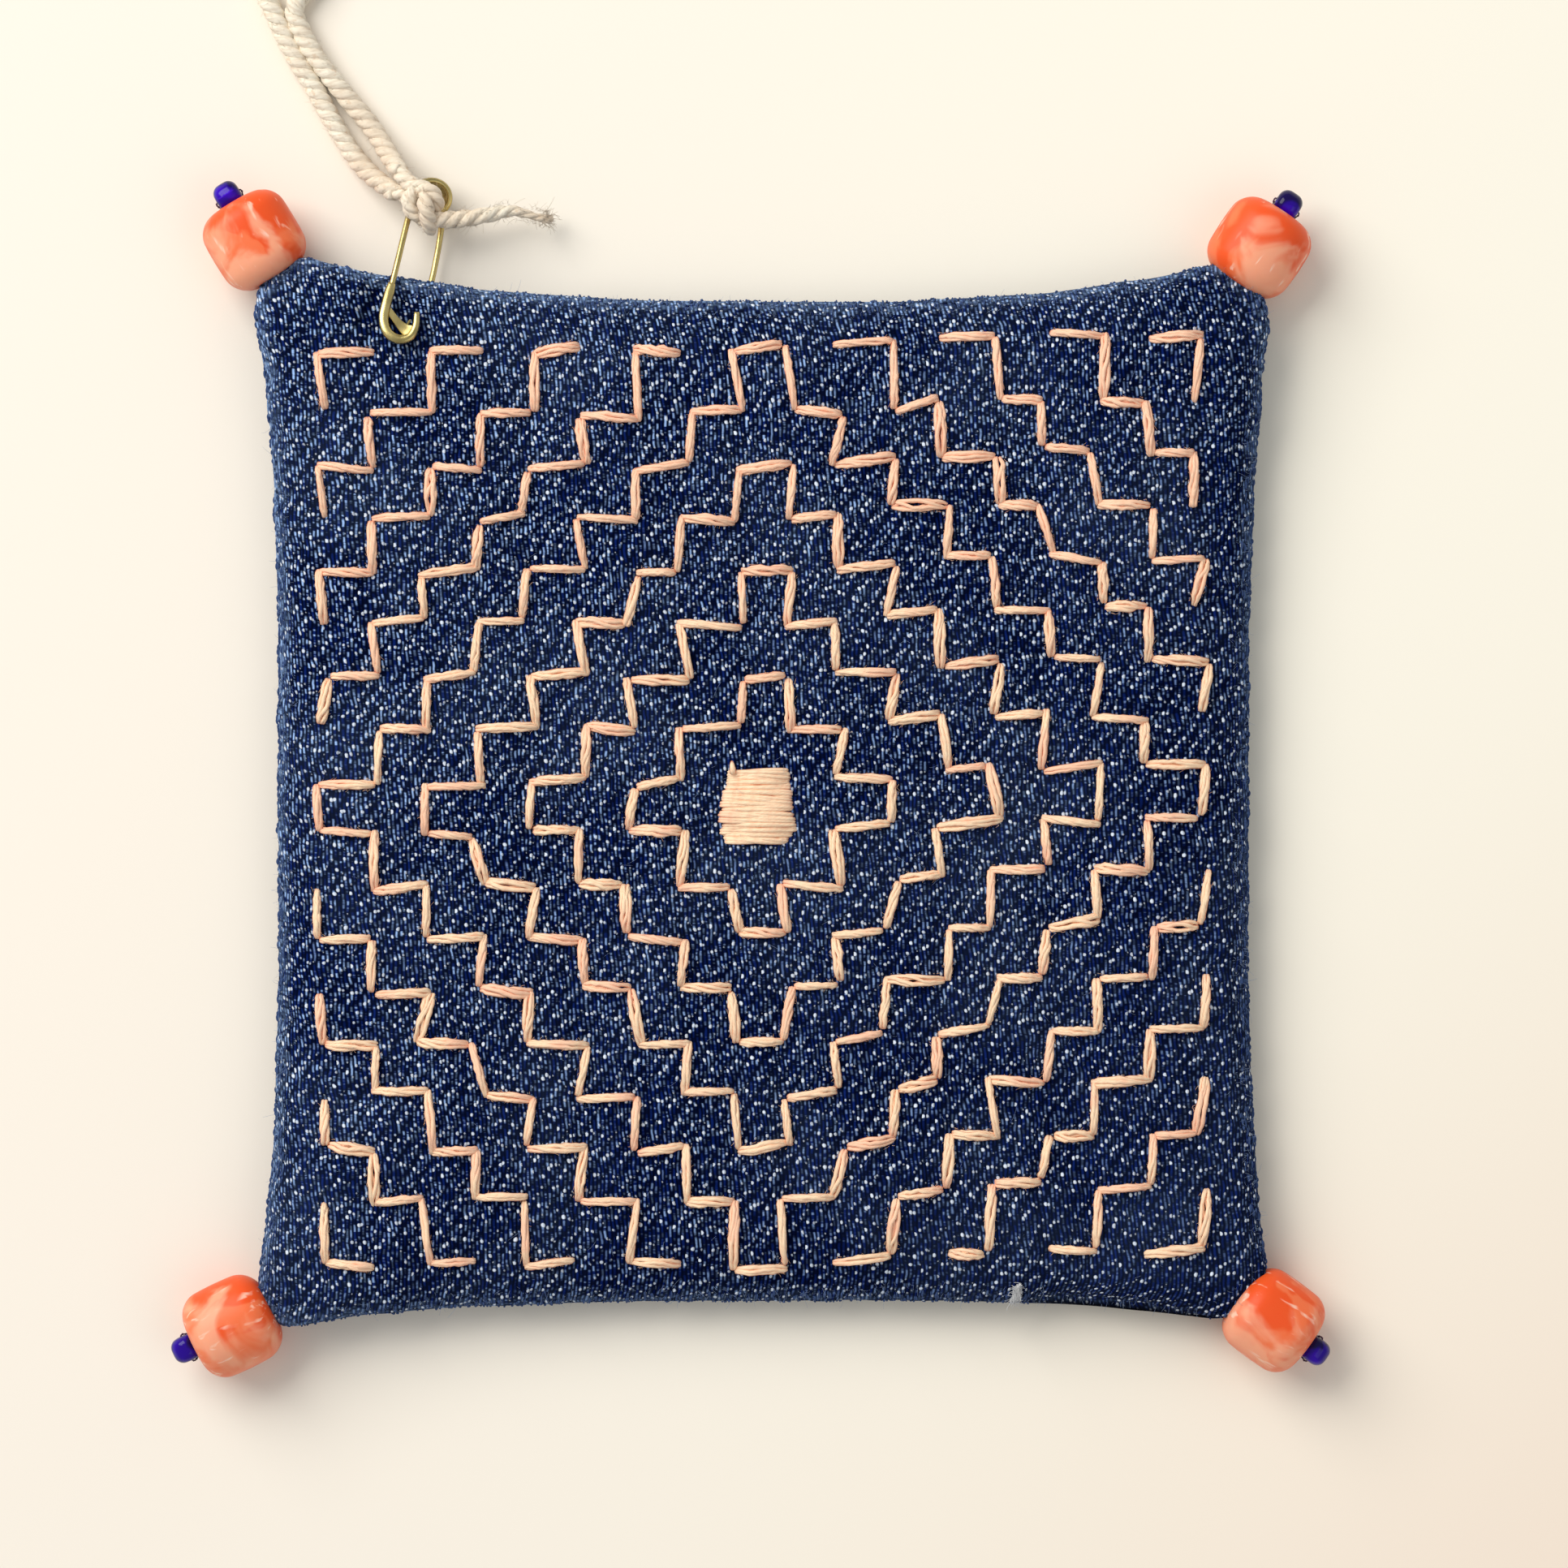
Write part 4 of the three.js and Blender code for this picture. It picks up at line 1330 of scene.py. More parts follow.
    def rim_yarns(self) -> bpy.types.Object:
        """Makes the yarns that bulge along the rolled edge, so that it isn't smooth.

        Returns:
            The yarns as one mesh.
        """
        chance = np.random.default_rng(17)
        parts = MeshParts()
        t = np.linspace(0, 1, 6)
        for _ in range(self.rim_count):
            turn = chance.uniform(-math.pi, math.pi)
            way = Vector((math.cos(turn), math.sin(turn), 0))
            seam = float(self.seam_height(np.array(self.outline(turn))))
            start = way * self.probe + UP * (seam + chance.uniform(-0.5, 2.2) * MM)
            hit, normal, _, _ = self.faces_up.ray_cast(start, -way)
            if hit is None or bool(self.in_gap(np.array(hit.x), np.array(hit.y)) > 0.3):
                continue
            over = normal.cross(Vector((0, 1, 0)))
            along = over.cross(normal).normalized() if over.length > 0.3 else UP
            length = chance.uniform(0.5, 1.0) * MM
            thick = chance.uniform(0.09, 0.16) * MM
            bulge = np.sin(math.pi * t)
            line = np.array(hit) + np.outer((t - 0.5) * length, along) + np.outer(bulge * 0.07 * MM, normal)
            parts.tube(line, thick * (0.25 + 0.75 * bulge**0.6), 6)
        return parts.make("seam_yarns")

    def tuft(self) -> bpy.types.Object:
        """Makes the wisp of filling that shows in the seam of the front edge.

        Returns:
            The fibres as one mesh.
        """
        chance = np.random.default_rng(5)
        count = self.tuft_count
        along = chance.uniform(0, 1, count)
        spread = chance.normal(0, 0.1, count) + chance.normal(0, 0.26, count) * along
        x = (26.7 - 0.5 * along + spread) * MM
        y = (-50.3 - 1.9 * along) * MM
        z = np.array([self.face_height(px, py) for px, py in zip(x, y)])
        z += chance.uniform(0.05, 0.5, count) * MM
        ways = chance.normal(0, 0.28, (count, 3)) + np.array([-0.1, -0.7, 0.1])
        parts = MeshParts()
        add_lint(parts, np.stack([x, y, z], -1), ways, 0.9 * MM, 0.04 * MM, 6)
        return parts.make("filling_tuft")


@dataclass
class Embroidery:
    """The counted pattern in stranded floss, with its satin-stitched middle."""

    last: int = 17
    middle_x: float = -0.2 * MM
    middle_y: float = -0.64 * MM
    pitch_x: float = 5.39 * MM
    pitch_y: float = 5.46 * MM
    border_extra: float = 1.35 * MM
    lift: float = 1.5 * MM
    lift_columns: float = 5.0
    waver_x: float = 0.8 * MM
    waver_y: float = 0.5 * MM
    rings: int = 4
    stairs: int = 4
    strands: int = 5
    strand_radius: float = 0.24 * MM
    half_width: float = 0.26 * MM
    half_height: float = 0.2 * MM
    stray: float = 0.2 * MM
    dive: float = 0.38 * MM
    fuzz: int = 13
    fuzz_length: float = 0.34 * MM
    fuzz_radius: float = 0.03 * MM
    marks: tuple[float, ...] = (
        *(0.0, 0.025, 0.07, 0.13, 0.2, 0.28, 0.37, 0.46),
        *(0.55, 0.64, 0.73, 0.81, 0.88, 0.94, 0.98, 1.0),
    )
    satin_low: float = -4.12 * MM
    satin_tall: float = 7.15 * MM
    satin_front: float = 4.05 * MM
    satin_back: float = 3.4 * MM
    satin_rows: int = 14
    satin_strands: int = 3
    satin_radius: float = 0.27 * MM
    satin_tip: tuple[Point, ...] = (
        (-3.2, 2.9, 0.5),
        (-3.25, 3.4, 0.45),
        (-3.3, 3.8, 0.3),
        (-3.33, 4.15, -0.1),
    )
    tip_radii: tuple[float, ...] = (0.34, 0.32, 0.26, 0.16)

    @staticmethod
    def wavering(i: int, j: int) -> float:
        """Returns a steady number from -1 to 1 for each pair of counts."""
        big = math.sin(i * 127.1 + j * 311.7) * 43758.5453
        return 2 * (big - math.floor(big)) - 1

    def hole(self, column: int, row: int) -> np.ndarray:
        """Places one stitch hole.

        Args:
            column: Its column, counted from the left.
            row: Its row, counted from the back.

        Returns:
            Its place in X and Y.
        """
        across = column - self.last / 2
        along = self.last / 2 - row
        climb = eased(min(1.0, max(0.0, across / self.lift_columns))) * self.lift
        border = math.copysign(self.border_extra, along) if row in (0, self.last) else 0.0
        x = self.middle_x + across * self.pitch_x + self.wavering(column, row) * self.waver_x
        y = self.middle_y + along * self.pitch_y + border + climb
        return np.array([x, y + self.wavering(row + 40, column) * self.waver_y])

    def holes(self) -> np.ndarray:
        """Returns the places of all the stitch holes."""
        counts = range(self.last + 1)
        return np.array([self.hole(column, row) for column in counts for row in counts])

    @staticmethod
    def stair(column: int, row: int, steps: int, up_first: bool) -> Holes:
        """Counts out a stepped line that goes up and right in turn.

        Args:
            column: The column that it starts in.
            row: The row that it starts in.
            steps: How many stitches it has.
            up_first: Whether its first stitch goes up.

        Returns:
            Its holes in order.
        """
        line = [(column, row)]
        for step in range(steps):
            if (step % 2 == 0) == up_first:
                row -= 1
            else:
                column += 1
            line.append((column, row))
        return line

    def in_corner(self, line: Holes, corner: Corner) -> Holes:
        """Carries a line from the back left to another corner, as a mirror would.

        Args:
            line: The line's holes.
            corner: The corner where it is wanted.

        Returns:
            The holes there, in the same order.
        """
        right = corner in (Corner.BACK_RIGHT, Corner.FRONT_RIGHT)
        front = corner in (Corner.FRONT_RIGHT, Corner.FRONT_LEFT)
        return [(self.last - c if right else c, self.last - r if front else r) for c, r in line]

    def lines(self) -> dict[str, Holes]:
        """Counts out every line of stitches.

        Returns:
            The holes of each line by its node's name.
        """
        found = {}
        round_way = (Corner.BACK_LEFT, Corner.BACK_RIGHT, Corner.FRONT_RIGHT, Corner.FRONT_LEFT)
        middle = self.last // 2
        # Every second quarter is listed backwards, so that the diamond runs on round the middle
        for ring in range(1, self.rings + 1):
            quarter = self.stair(middle - 2 * ring, middle, 4 * ring, False)
            loop = []
            for number, corner in enumerate(round_way):
                loop += self.in_corner(quarter, corner)[:: -1 if number % 2 else 1]
            found[f"floss_diamond_{ring}"] = loop
        for step in range(self.stairs):
            back_left = self.stair(0, 2 * step + 1, 4 * step + 2, True)
            for corner in round_way:
                found[f"floss_{corner.value}_{step + 1}"] = self.in_corner(back_left, corner)
        return found

    def stitch(
        self, parts: MeshParts, start: np.ndarray, stop: np.ndarray, height: Height, seed: int
    ) -> None:
        """Adds one stitch as strands that twist round each other and dive into its holes.

        Args:
            parts: The mesh that gets it.
            start: Its first hole.
            stop: Its second hole.
            height: Gives the height of the cloth over a point.
            seed: The seed for its differences.
        """
        chance = random.Random(seed)
        way = unit(stop - start)
        side = np.array([-way[1], way[0]])
        start = start + way * chance.uniform(-0.25, 0.4) * MM + side * chance.uniform(-1, 1) * self.stray
        stop = stop - way * chance.uniform(-0.25, 0.4) * MM + side * chance.uniform(-1, 1) * self.stray
        plump = 0.78 + 1.05 * chance.random() ** 1.7
        twist = chance.uniform(0.12, 0.5)
        phase = chance.uniform(0, 2 * math.pi)
        lean = chance.uniform(0.65, 1.5)
        blunt = 0.22 + 0.35 * max(0.0, plump - 1.1) * chance.uniform(0.2, 1.2)
        t = np.array(self.marks)
        rough = np.random.default_rng(seed)
        full = np.clip(np.sin(math.pi * t**lean), 0, 1) ** blunt
        centre = start[None] + (stop - start)[None] * t[:, None]
        cloth = np.array([height(x, y) for x, y in centre])
        rise = (self.half_height + self.strand_radius) * full - self.dive * (1 - full) ** 1.4
        for k in range(self.strands):
            wander = 0.5 * np.sin(2 * math.pi * (chance.uniform(0.5, 1.3) * t + chance.random()))
            angle = phase + wander + 2 * math.pi * (k / self.strands + twist * t)
            off = np.cos(angle) * self.half_width * plump * (0.35 + 0.65 * full)
            off += rough.normal(0, 0.034, len(t)) * MM
            up = np.sin(angle) * self.half_height * full
            flat = centre + side[None] * off[:, None]
            line = np.concatenate([flat, (cloth + rise + up)[:, None]], 1)
            thick = self.strand_radius * chance.uniform(0.85, 1.15) * (0.6 + 0.4 * full)
            parts.tube(line, thick * rough.uniform(0.88, 1.12, len(t)), 6, chance.uniform(0, 1))
        self.add_fuzz(parts, start, stop, height, plump, seed, rough)

    def add_fuzz(
        self,
        parts: MeshParts,
        start: np.ndarray,
        stop: np.ndarray,
        height: Height,
        plump: float,
        seed: int,
        rough: np.random.Generator,
    ) -> None:
        """Adds the loose fibres at the two sides of a stitch.

        Args:
            parts: The mesh that gets them.
            start: The stitch's first end.
            stop: Its second end.
            height: Gives the height of the cloth over a point.
            plump: How wide the stitch is beside the usual one.
            seed: The seed for the fibres' differences.
            rough: Draws the fibres' places.
        """
        way = unit(stop - start)
        side = np.array([-way[1], way[0]])
        marks = rough.uniform(0.05, 0.95, self.fuzz)
        sides = rough.choice([-1.0, 1.0], self.fuzz)
        width = self.half_width * plump + self.strand_radius * 0.75
        roots = start[None] + (stop - start)[None] * marks[:, None] + side[None] * (sides * width)[:, None]
        tops = np.array([height(x, y) for x, y in roots]) + rough.uniform(0.1, 0.45, self.fuzz) * MM
        ways = side[None] * sides[:, None] * 0.5 + way[None] * rough.normal(0, 1.0, self.fuzz)[:, None]
        ways = np.concatenate([ways, rough.uniform(0.0, 0.3, self.fuzz)[:, None]], 1)
        roots = np.concatenate([roots, tops[:, None]], 1)
        add_lint(parts, roots, ways, self.fuzz_length, self.fuzz_radius, seed)

    def build(self, height: Height) -> dict[str, bpy.types.Object]:
        """Stitches every line.

        Args:
            height: Gives the height of the cloth over a point.

        Returns:
            Each line's mesh by its node's name.
        """
        made = {}
        seed = 100
        for name, counts in self.lines().items():
            parts = MeshParts()
            for first, second in zip(counts, counts[1:] + counts[:1]):
                seed += 1
                if abs(first[0] - second[0]) + abs(first[1] - second[1]) != 1:
                    continue
                self.stitch(parts, self.hole(*first), self.hole(*second), height, seed)
            made[name] = parts.make(name.replace("floss", "stitched"))
        made["floss_satin_middle"] = self.satin(height)
        return made

    def satin(self, height: Height) -> bpy.types.Object:
        """Makes the block of satin stitch in the middle.

        Args:
            height: Gives the height of the cloth over a point.

        Returns:
            The block as one mesh.
        """
        chance = random.Random(3)
        parts = MeshParts()
        t = np.linspace(0, 1, 15)
        full = np.clip(np.sin(math.pi * t), 0, 1) ** 0.42
        for row in range(self.satin_rows):
            share = row / (self.satin_rows - 1)
            half = self.satin_front - (self.satin_front - self.satin_back) * share**1.3
            half *= {0: 0.82, 1: 0.95}.get(row, 1.0)
            y = self.satin_low + self.satin_tall * share
            left = -0.75 * MM - half + chance.uniform(-0.25, 0.25) * MM
            right = -0.68 * MM + half + chance.uniform(-0.3, 0.25) * MM
            lean = chance.uniform(-0.08, 0.2) * MM
            bow = chance.uniform(-0.06, 0.12) * MM
            twist = chance.uniform(0.3, 0.8)
            pillow = (0.32 + 0.3 * math.sin(math.pi * (share * 0.9 + 0.05))) * MM
            x = left + (right - left) * t
            middle = y + lean * (t - 0.5) * 2 + bow * np.sin(math.pi * t)
            cloth = np.array([height(px, py) for px, py in zip(x, middle)])
            base = cloth + pillow * full - 0.45 * MM * (1 - full) ** 1.3
            for k in range(self.satin_strands):
                angle = chance.uniform(0, 0.6) + 2 * math.pi * (k / self.satin_strands + twist * t)
                up = base + (0.1 * np.sin(angle) + chance.uniform(0, 0.08)) * MM
                line = np.stack([x, middle + 0.17 * MM * np.cos(angle), up], -1)
                thick = self.satin_radius * chance.uniform(0.9, 1.15) * (0.6 + 0.4 * full)
                parts.tube(line, thick, 6, chance.uniform(0, 1))
        tip = np.array(self.satin_tip) * MM
        tip[:, 2] += [height(x, y) for x, y in tip[:, :2]]
        parts.tube(tip, np.array(self.tip_radii) * MM, 8)
        return parts.make("stitched_satin_middle")


@dataclass(frozen=True)
class BeadShape:
    """The sizes of a bored bead."""

    radius: float
    length: float
    bore: float
    inner_shoulder: float
    outer_shoulder: float
    fall: float
    squash: float = 1.0


BEAD_SIDES = 40
BARREL = BeadShape(4.84 * MM, 8.95 * MM, 1.1 * MM, 2.6 * MM, 2.35 * MM, 0.05, 0.91)
STOP = BeadShape(1.55 * MM, 2.7 * MM, 0.42 * MM, 0.95 * MM, 0.95 * MM, 0.05)


@dataclass
class CornerBeads:
    """A barrel bead, a stop bead and their thread, at one corner."""

    corner: Corner
    seat: float = 0.9 * MM
    tuck: float = 0.4 * MM
    thread_radius: float = 0.13 * MM
    wraps: int = 5
    wrap_radius: float = 0.75 * MM
    wrap_growth: float = 0.09 * MM
    wrap_pitch: float = 0.27 * MM

    def __post_init__(self) -> None:
        """Finds the barrel bead's middle and the way that its hole runs."""
        low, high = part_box(f"barrel_bead_{self.corner.value}")
        stop_low, stop_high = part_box(f"stop_bead_{self.corner.value}")
        self.middle = (Vector(low) + Vector(high)) / 2
        self.drop = Vector((0, 0, BARREL.radius * BARREL.squash - (self.middle.z - low[2])))
        self.stop_middle = (Vector(stop_low) + Vector(stop_high)) / 2
        way = self.stop_middle - self.middle
        self.way = Vector((way.x, way.y, 0)).normalized()

    @staticmethod
    def pick_faces(piece: bpy.types.Object, wanted: Callable[[bpy.types.MeshPolygon], bool]) -> None:
        """Selects some faces of a piece, and no others.

        Args:
            piece: The piece.
            wanted: Takes a face, and tells whether it is wanted.
        """
        clear_selection("FACE")
        for face in piece.data.polygons:
            face.select = bool(wanted(face))
        bpy.ops.object.mode_set(mode="EDIT")

    @staticmethod
    def pick_edges(piece: bpy.types.Object, wanted: Callable[[Vector, Vector], bool]) -> None:
        """Selects some edges of a piece, and no others.

        Args:
            piece: The piece.
            wanted: Takes an edge's two ends, and tells whether it is wanted.
        """
        clear_selection("EDGE")
        for edge in piece.data.edges:
            ends = [piece.data.vertices[i].co for i in edge.vertices]
            edge.select = bool(wanted(*ends))
        bpy.ops.object.mode_set(mode="EDIT")

    def bored(
        self, name: str, shape: BeadShape, middle: Vector, way: Vector, drop: Vector
    ) -> bpy.types.Object:
        """Models a bead: a cylinder bored through, with its rims rounded over.

        Args:
            name: The object's name.
            shape: The bead's sizes.
            middle: Its middle.
            way: The direction of its hole, towards its outer end.
            drop: How far it is moved once it is flattened.

        Returns:
            The bead.
        """
        bpy.ops.object.select_all(action="DESELECT")
        bpy.ops.mesh.primitive_cylinder_add(
            vertices=BEAD_SIDES,
            radius=shape.radius,
            depth=shape.length,
            location=middle,
            rotation=(0, math.pi / 2, math.atan2(way.y, way.x)),
            end_fill_type="NGON",
        )
        piece = bpy.context.object
        piece.name = name
        bpy.ops.object.transform_apply(location=True, rotation=True, scale=True)
        half = shape.length / 2

        def from_axis(point: Vector) -> float:
            """Returns how far a point lies from the bead's axis."""
            offset = point - middle
            return (offset - way * offset.dot(way)).length

        def on_rim(a: Vector, b: Vector) -> bool:
            """Tells whether an edge lies in one of the two ends."""
            return abs((a - b).dot(way)) < half

        def on_bore(a: Vector, b: Vector) -> bool:
            """Tells whether an edge lies round an end of the bore."""
            return max(from_axis(a), from_axis(b)) < shape.bore * 1.05 and on_rim(a, b)

        def on_outer_rim(a: Vector, b: Vector) -> bool:
            """Tells whether an edge lies round the outside of an end."""
            return min(from_axis(a), from_axis(b)) > shape.radius * 0.98 and on_rim(a, b)

        self.pick_faces(piece, lambda face: abs(face.normal.dot(way)) > 0.9)
        bpy.ops.mesh.inset(thickness=shape.radius - shape.bore, depth=0)
        bpy.ops.mesh.delete(type="FACE")
        self.pick_edges(piece, on_bore)
        bpy.ops.mesh.bridge_edge_loops()
        for outward, shoulder in ((-1, shape.inner_shoulder), (1, shape.outer_shoulder)):
            out = way * outward
            self.pick_edges(piece, lambda a, b, out=out: on_outer_rim(a, b) and (a - middle).dot(out) > 0)
            bpy.ops.mesh.bevel(offset=shoulder, segments=8, profile=0.5)
        self.pick_edges(piece, on_bore)
        bpy.ops.mesh.bevel(offset=shape.bore * 0.4, segments=3, profile=0.5)
        face_outward()
        refine(piece, 1)
        self.swell(piece, shape, middle, way, drop)
        piece.data.shade_smooth()
        return piece

    @staticmethod
    def swell(piece: bpy.types.Object, shape: BeadShape, middle: Vector, way: Vector, drop: Vector) -> None:
        """Swells a bead's waist and flattens it a little, and notes each point's place along its own axes.

        Args:
            piece: The bead.
            shape: Its sizes.
            middle: Its middle.
            way: The direction of its hole.
            drop: How far it is moved once it is flattened.
        """
        side = Vector((-way.y, way.x, 0))
        attributes = piece.data.attributes
        attributes.new("axes", "FLOAT_VECTOR", "POINT")
        attributes.new("lit_through_side", "FLOAT", "POINT")
        axes, lit_through = attributes["axes"].data, attributes["lit_through_side"].data
        for vertex, spot, share in zip(piece.data.vertices, axes, lit_through):
            offset = vertex.co - middle
            along = offset.dot(way)
            across = offset - way * along
            spot.vector = (along + middle.x, offset.dot(side) + middle.y, offset.z)
            # Painted light: marks the front of the bead, away from the lamp, where light comes through the
            # glass.
            share.value = min(1.0, max(0.0, 0.5 - (0.25 * offset.x + 0.75 * offset.y) / shape.radius))
            if across.length > shape.bore * 1.6:
                fall = shape.fall * (2 * along / shape.length) ** 2
                uneven = 0.014 * noise.noise(vertex.co * 240)
                across *= 1 - fall + uneven
                across.z *= shape.squash
            vertex.co = middle + way * along + across + drop

    def thread(self) -> bpy.types.Object:
        """Makes the doubled thread: out of the ear, through the barrel and round through the stop bead.

        Returns:
            The thread, with the wraps that hold the ear, as one mesh.
        """
        side = Vector((-self.way.y, self.way.x, 0))
        half = BARREL.length / 2 / MM
        seat = half + self.seat / MM
        oneway = [
            (0.3, -half - 3.0, 0),
            (0.3, 0.0, 0),
            (0.45, half - 1.2, 0),
            (1.1, half - 0.1, 0.3),
            (1.5, seat - 0.35, 0.9),
            (1.35, seat, 1),
            (0.4, seat, 1),
        ]
        route = oneway + [(-x, y, z) for x, y, z in reversed(oneway)]
        points = [
            self.middle + (side * x + self.way * y) * MM + self.drop * (1 - level) for x, y, level in route
        ]
        line = even_route(smooth_route(points, 6), 0.2 * MM)
        parts = MeshParts()
        plied(parts, line, np.full(len(line), self.thread_radius), 2, len(line) * 0.3, 6)
        chance = random.Random(sum(map(ord, self.corner.value)))
        root = self.middle + self.drop - self.way * (half - 0.1) * MM
        for wrap in range(self.wraps):
            back = root - self.way * wrap * self.wrap_pitch
            radius = self.wrap_radius + self.wrap_growth * wrap
            tilt = chance.uniform(-0.12, 0.12) * MM
            ring = []
            for k in range(13):
                angle = 2 * math.pi * k / 12
                out = side * math.cos(angle) + UP * math.sin(angle)
                ring.append(back + out * radius + self.way * math.cos(angle) * tilt)
            loop = even_route(smooth_route(ring, 4), 0.3 * MM)
            plied(parts, loop, np.full(len(loop), self.thread_radius), 2, 9, 5)
        return parts.make(f"sewn_thread_{self.corner.value}")

    def build(self, finishes: Finishes) -> None:
        """Models and dresses the corner's pieces.

        Args:
            finishes: The coaster's finishes.
        """
        name = self.corner.value
        barrel = self.bored(f"barrel_{name}", BARREL, self.middle, self.way, self.drop)
        fit_out(barrel, "orange_glass", finishes.orange, f"barrel_bead_{name}")
        across = Vector((-self.way.y, self.way.x, 0))
        stop = self.bored(f"stop_{name}", STOP, self.stop_middle - self.way * self.tuck, across, Vector())
        fit_out(stop, "blue_glass", finishes.cobalt, f"stop_bead_{name}")
        fit_out(self.thread(), "sewing_thread", finishes.thread, f"bead_thread_{name}")


@dataclass
class SafetyPin:
    """The small brass safety pin: its wire with the coil, and its folded clasp."""

    coil_x: float = -35.2 * MM
    coil_y: float = 63.2 * MM
    end_x: float = -37.9 * MM
    end_y: float = 47.8 * MM
    wire: float = 0.32 * MM
    coil_radius: float = 1.6 * MM
    coil_swell: float = 0.25 * MM
    coil_shift: float = 0.2 * MM
    coil_step: float = 0.38 * MM
    turns: float = 2.5
    coil_points: int = 60
    corners: float = 0.72
    web_thickness: float = 0.22 * MM
    pitch: float = 0.66 * MM
    coil_height: float = 1.9 * MM
    tilt: float = 0.25
    needle: tuple[Point, ...] = (
        (14.3, 0.1, 6.98),
        (13.3, 0.45, 6.3),
        (12.2, 0.95, 5.3),
        (10.9, 1.4, 3.9),
        (9.5, 1.68, 2.6),
        (7.0, 1.8, 1.75),
        (3.5, 1.8, 1.5),
    )
    fixed_arm: tuple[Point, ...] = (
        (1.6, -1.63, 4.0),
        (4.0, -1.72, 5.0),
        (7.0, -1.82, 6.1),
        (9.9, -1.98, 6.7),
    )
    band: tuple[Point, ...] = (
        (9.6, -1.97, 6.72),
        (10.7, -2.06, 7.0),
        (11.8, -2.15, 7.25),
        (13.5, -2.15, 7.55),
        (14.8, -1.5, 7.78),
        (15.35, -0.25, 7.84),
        (14.9, 0.9, 7.78),
        (13.7, 1.3, 7.55),
        (12.2, 1.15, 7.3),
    )

    web: tuple[tuple[Point, ...], ...] = (
        ((11.6, -2.1, 7.42), (12.6, -1.2, 7.3), (13.4, -0.2, 7.25), (13.7, 0.7, 7.3), (13.4, 1.25, 7.4)),
        ((12.2, -2.1, 7.42), (13.0, -1.2, 7.28), (13.9, -0.25, 7.2), (14.2, 0.5, 7.28), (14.3, 1.1, 7.42)),
        ((12.7, -2.15, 7.42), (13.5, -1.25, 7.26), (14.5, -0.4, 7.2), (14.9, 0.2, 7.3), (15.0, 0.6, 7.45)),
    )

    def place(self, along: float, across: float, up: float) -> Point:
        """Turns a place on the pin into the coaster's frame.

        Args:
            along: How far from the coil towards the clasp, in millimetres.
            across: How far to the right, in millimetres.
            up: How high, in millimetres.

        Returns:
            The place, in metres.
        """
        length = math.hypot(self.end_x - self.coil_x, self.end_y - self.coil_y)
        dx = (self.end_x - self.coil_x) / length
        dy = (self.end_y - self.coil_y) / length
        x = self.coil_x + (along * dx - across * dy) * MM
        y = self.coil_y + (along * dy + across * dx) * MM
        return (x, y, up * MM)

    def wire_mesh(self) -> bpy.types.Object:
        """Models the wire as a bevelled curve, turned into a mesh.

        Returns:
            The wire, pointed at its needle's end.
        """
        coil = []
        for k in range(self.coil_points + 1):
            turned = self.turns * k / self.coil_points
            angle = 2 * math.pi * turned
            swelled = math.sin(math.pi * k / self.coil_points) ** 0.5
            radius = (self.coil_radius + self.coil_swell * swelled) / MM
            step = self.coil_step / MM * swelled * (turned - self.turns / 2)
            shift = self.coil_shift / MM * swelled
            across = radius * math.cos(angle) + shift + step
            up = self.coil_height / MM - self.tilt * across + self.pitch / MM * turned
            coil.append((-radius * math.sin(angle) - 0.5 * shift - 0.7 * step, across, up))
        route = [self.place(*p) for p in (*self.needle, *coil, *self.fixed_arm)]
        line = even_route(smooth_route(route, 6), 0.22 * MM)
        curve = bpy.data.curves.new("pin_wire_line", "CURVE")
        curve.dimensions = "3D"
        curve.bevel_depth = self.wire
        curve.bevel_resolution = 4
        curve.use_fill_caps = True
        spline = curve.splines.new("POLY")
        spline.points.add(len(line) - 1)
        for k, (point, target) in enumerate(zip(line, spline.points)):
            target.co = (*point, 1)
            target.radius = min(1.0, 0.12 + k * 0.08)
        piece = bpy.data.objects.new("pin_wire_drawn", curve)
        bpy.context.scene.collection.objects.link(piece)
        select_only(piece)
        bpy.ops.object.convert(target="MESH")
        piece = bpy.context.object
        piece.data.shade_smooth()
        return piece

    def clasp_mesh(self) -> bpy.types.Object:
        """Models the clasp: a folded band bent into a hook, with the web between its legs.

        Returns:
            The clasp.
        """
        route = smooth_route([self.place(*p) for p in self.band], 5)
        parts = MeshParts()
        rows = []
        for k, point in enumerate(route):
            ahead = unit((route[min(k + 1, len(route) - 1)] - route[max(k - 1, 0)])[:2])
            side = np.array([-ahead[1], ahead[0], 0])
            share = k / (len(route) - 1)
            width = (0.56 - 0.22 * share**3) * (0.7 + 0.3 * min(1, share * 9)) * MM
            height = 0.56 * (0.75 + 0.25 * min(1, share * 7)) * MM
            ring = []
            for step in range(17):
                angle = 2 * math.pi * step / 16
                round_ring = (math.cos(angle), math.sin(angle))
                out, up = (math.copysign(abs(part) ** self.corners, part) for part in round_ring)
                ring.append(point + side * out * width + np.array([0, 0, up * height]))
            rows.append(ring)
        rings = np.array(rows)
        parts.grid(rings, np.zeros((*rings.shape[:2], 2)), True)
        piece = parts.make("pin_clasp_folded")
        close_up(piece, 0.005 * MM)
        clear_selection("EDGE")
        bpy.ops.object.mode_set(mode="EDIT")
        bpy.ops.mesh.select_non_manifold()
        bpy.ops.mesh.edge_face_add()
        face_outward()
        select_only(piece, self.web_mesh())
        bpy.ops.object.join()
        piece.data.shade_smooth()
        return piece

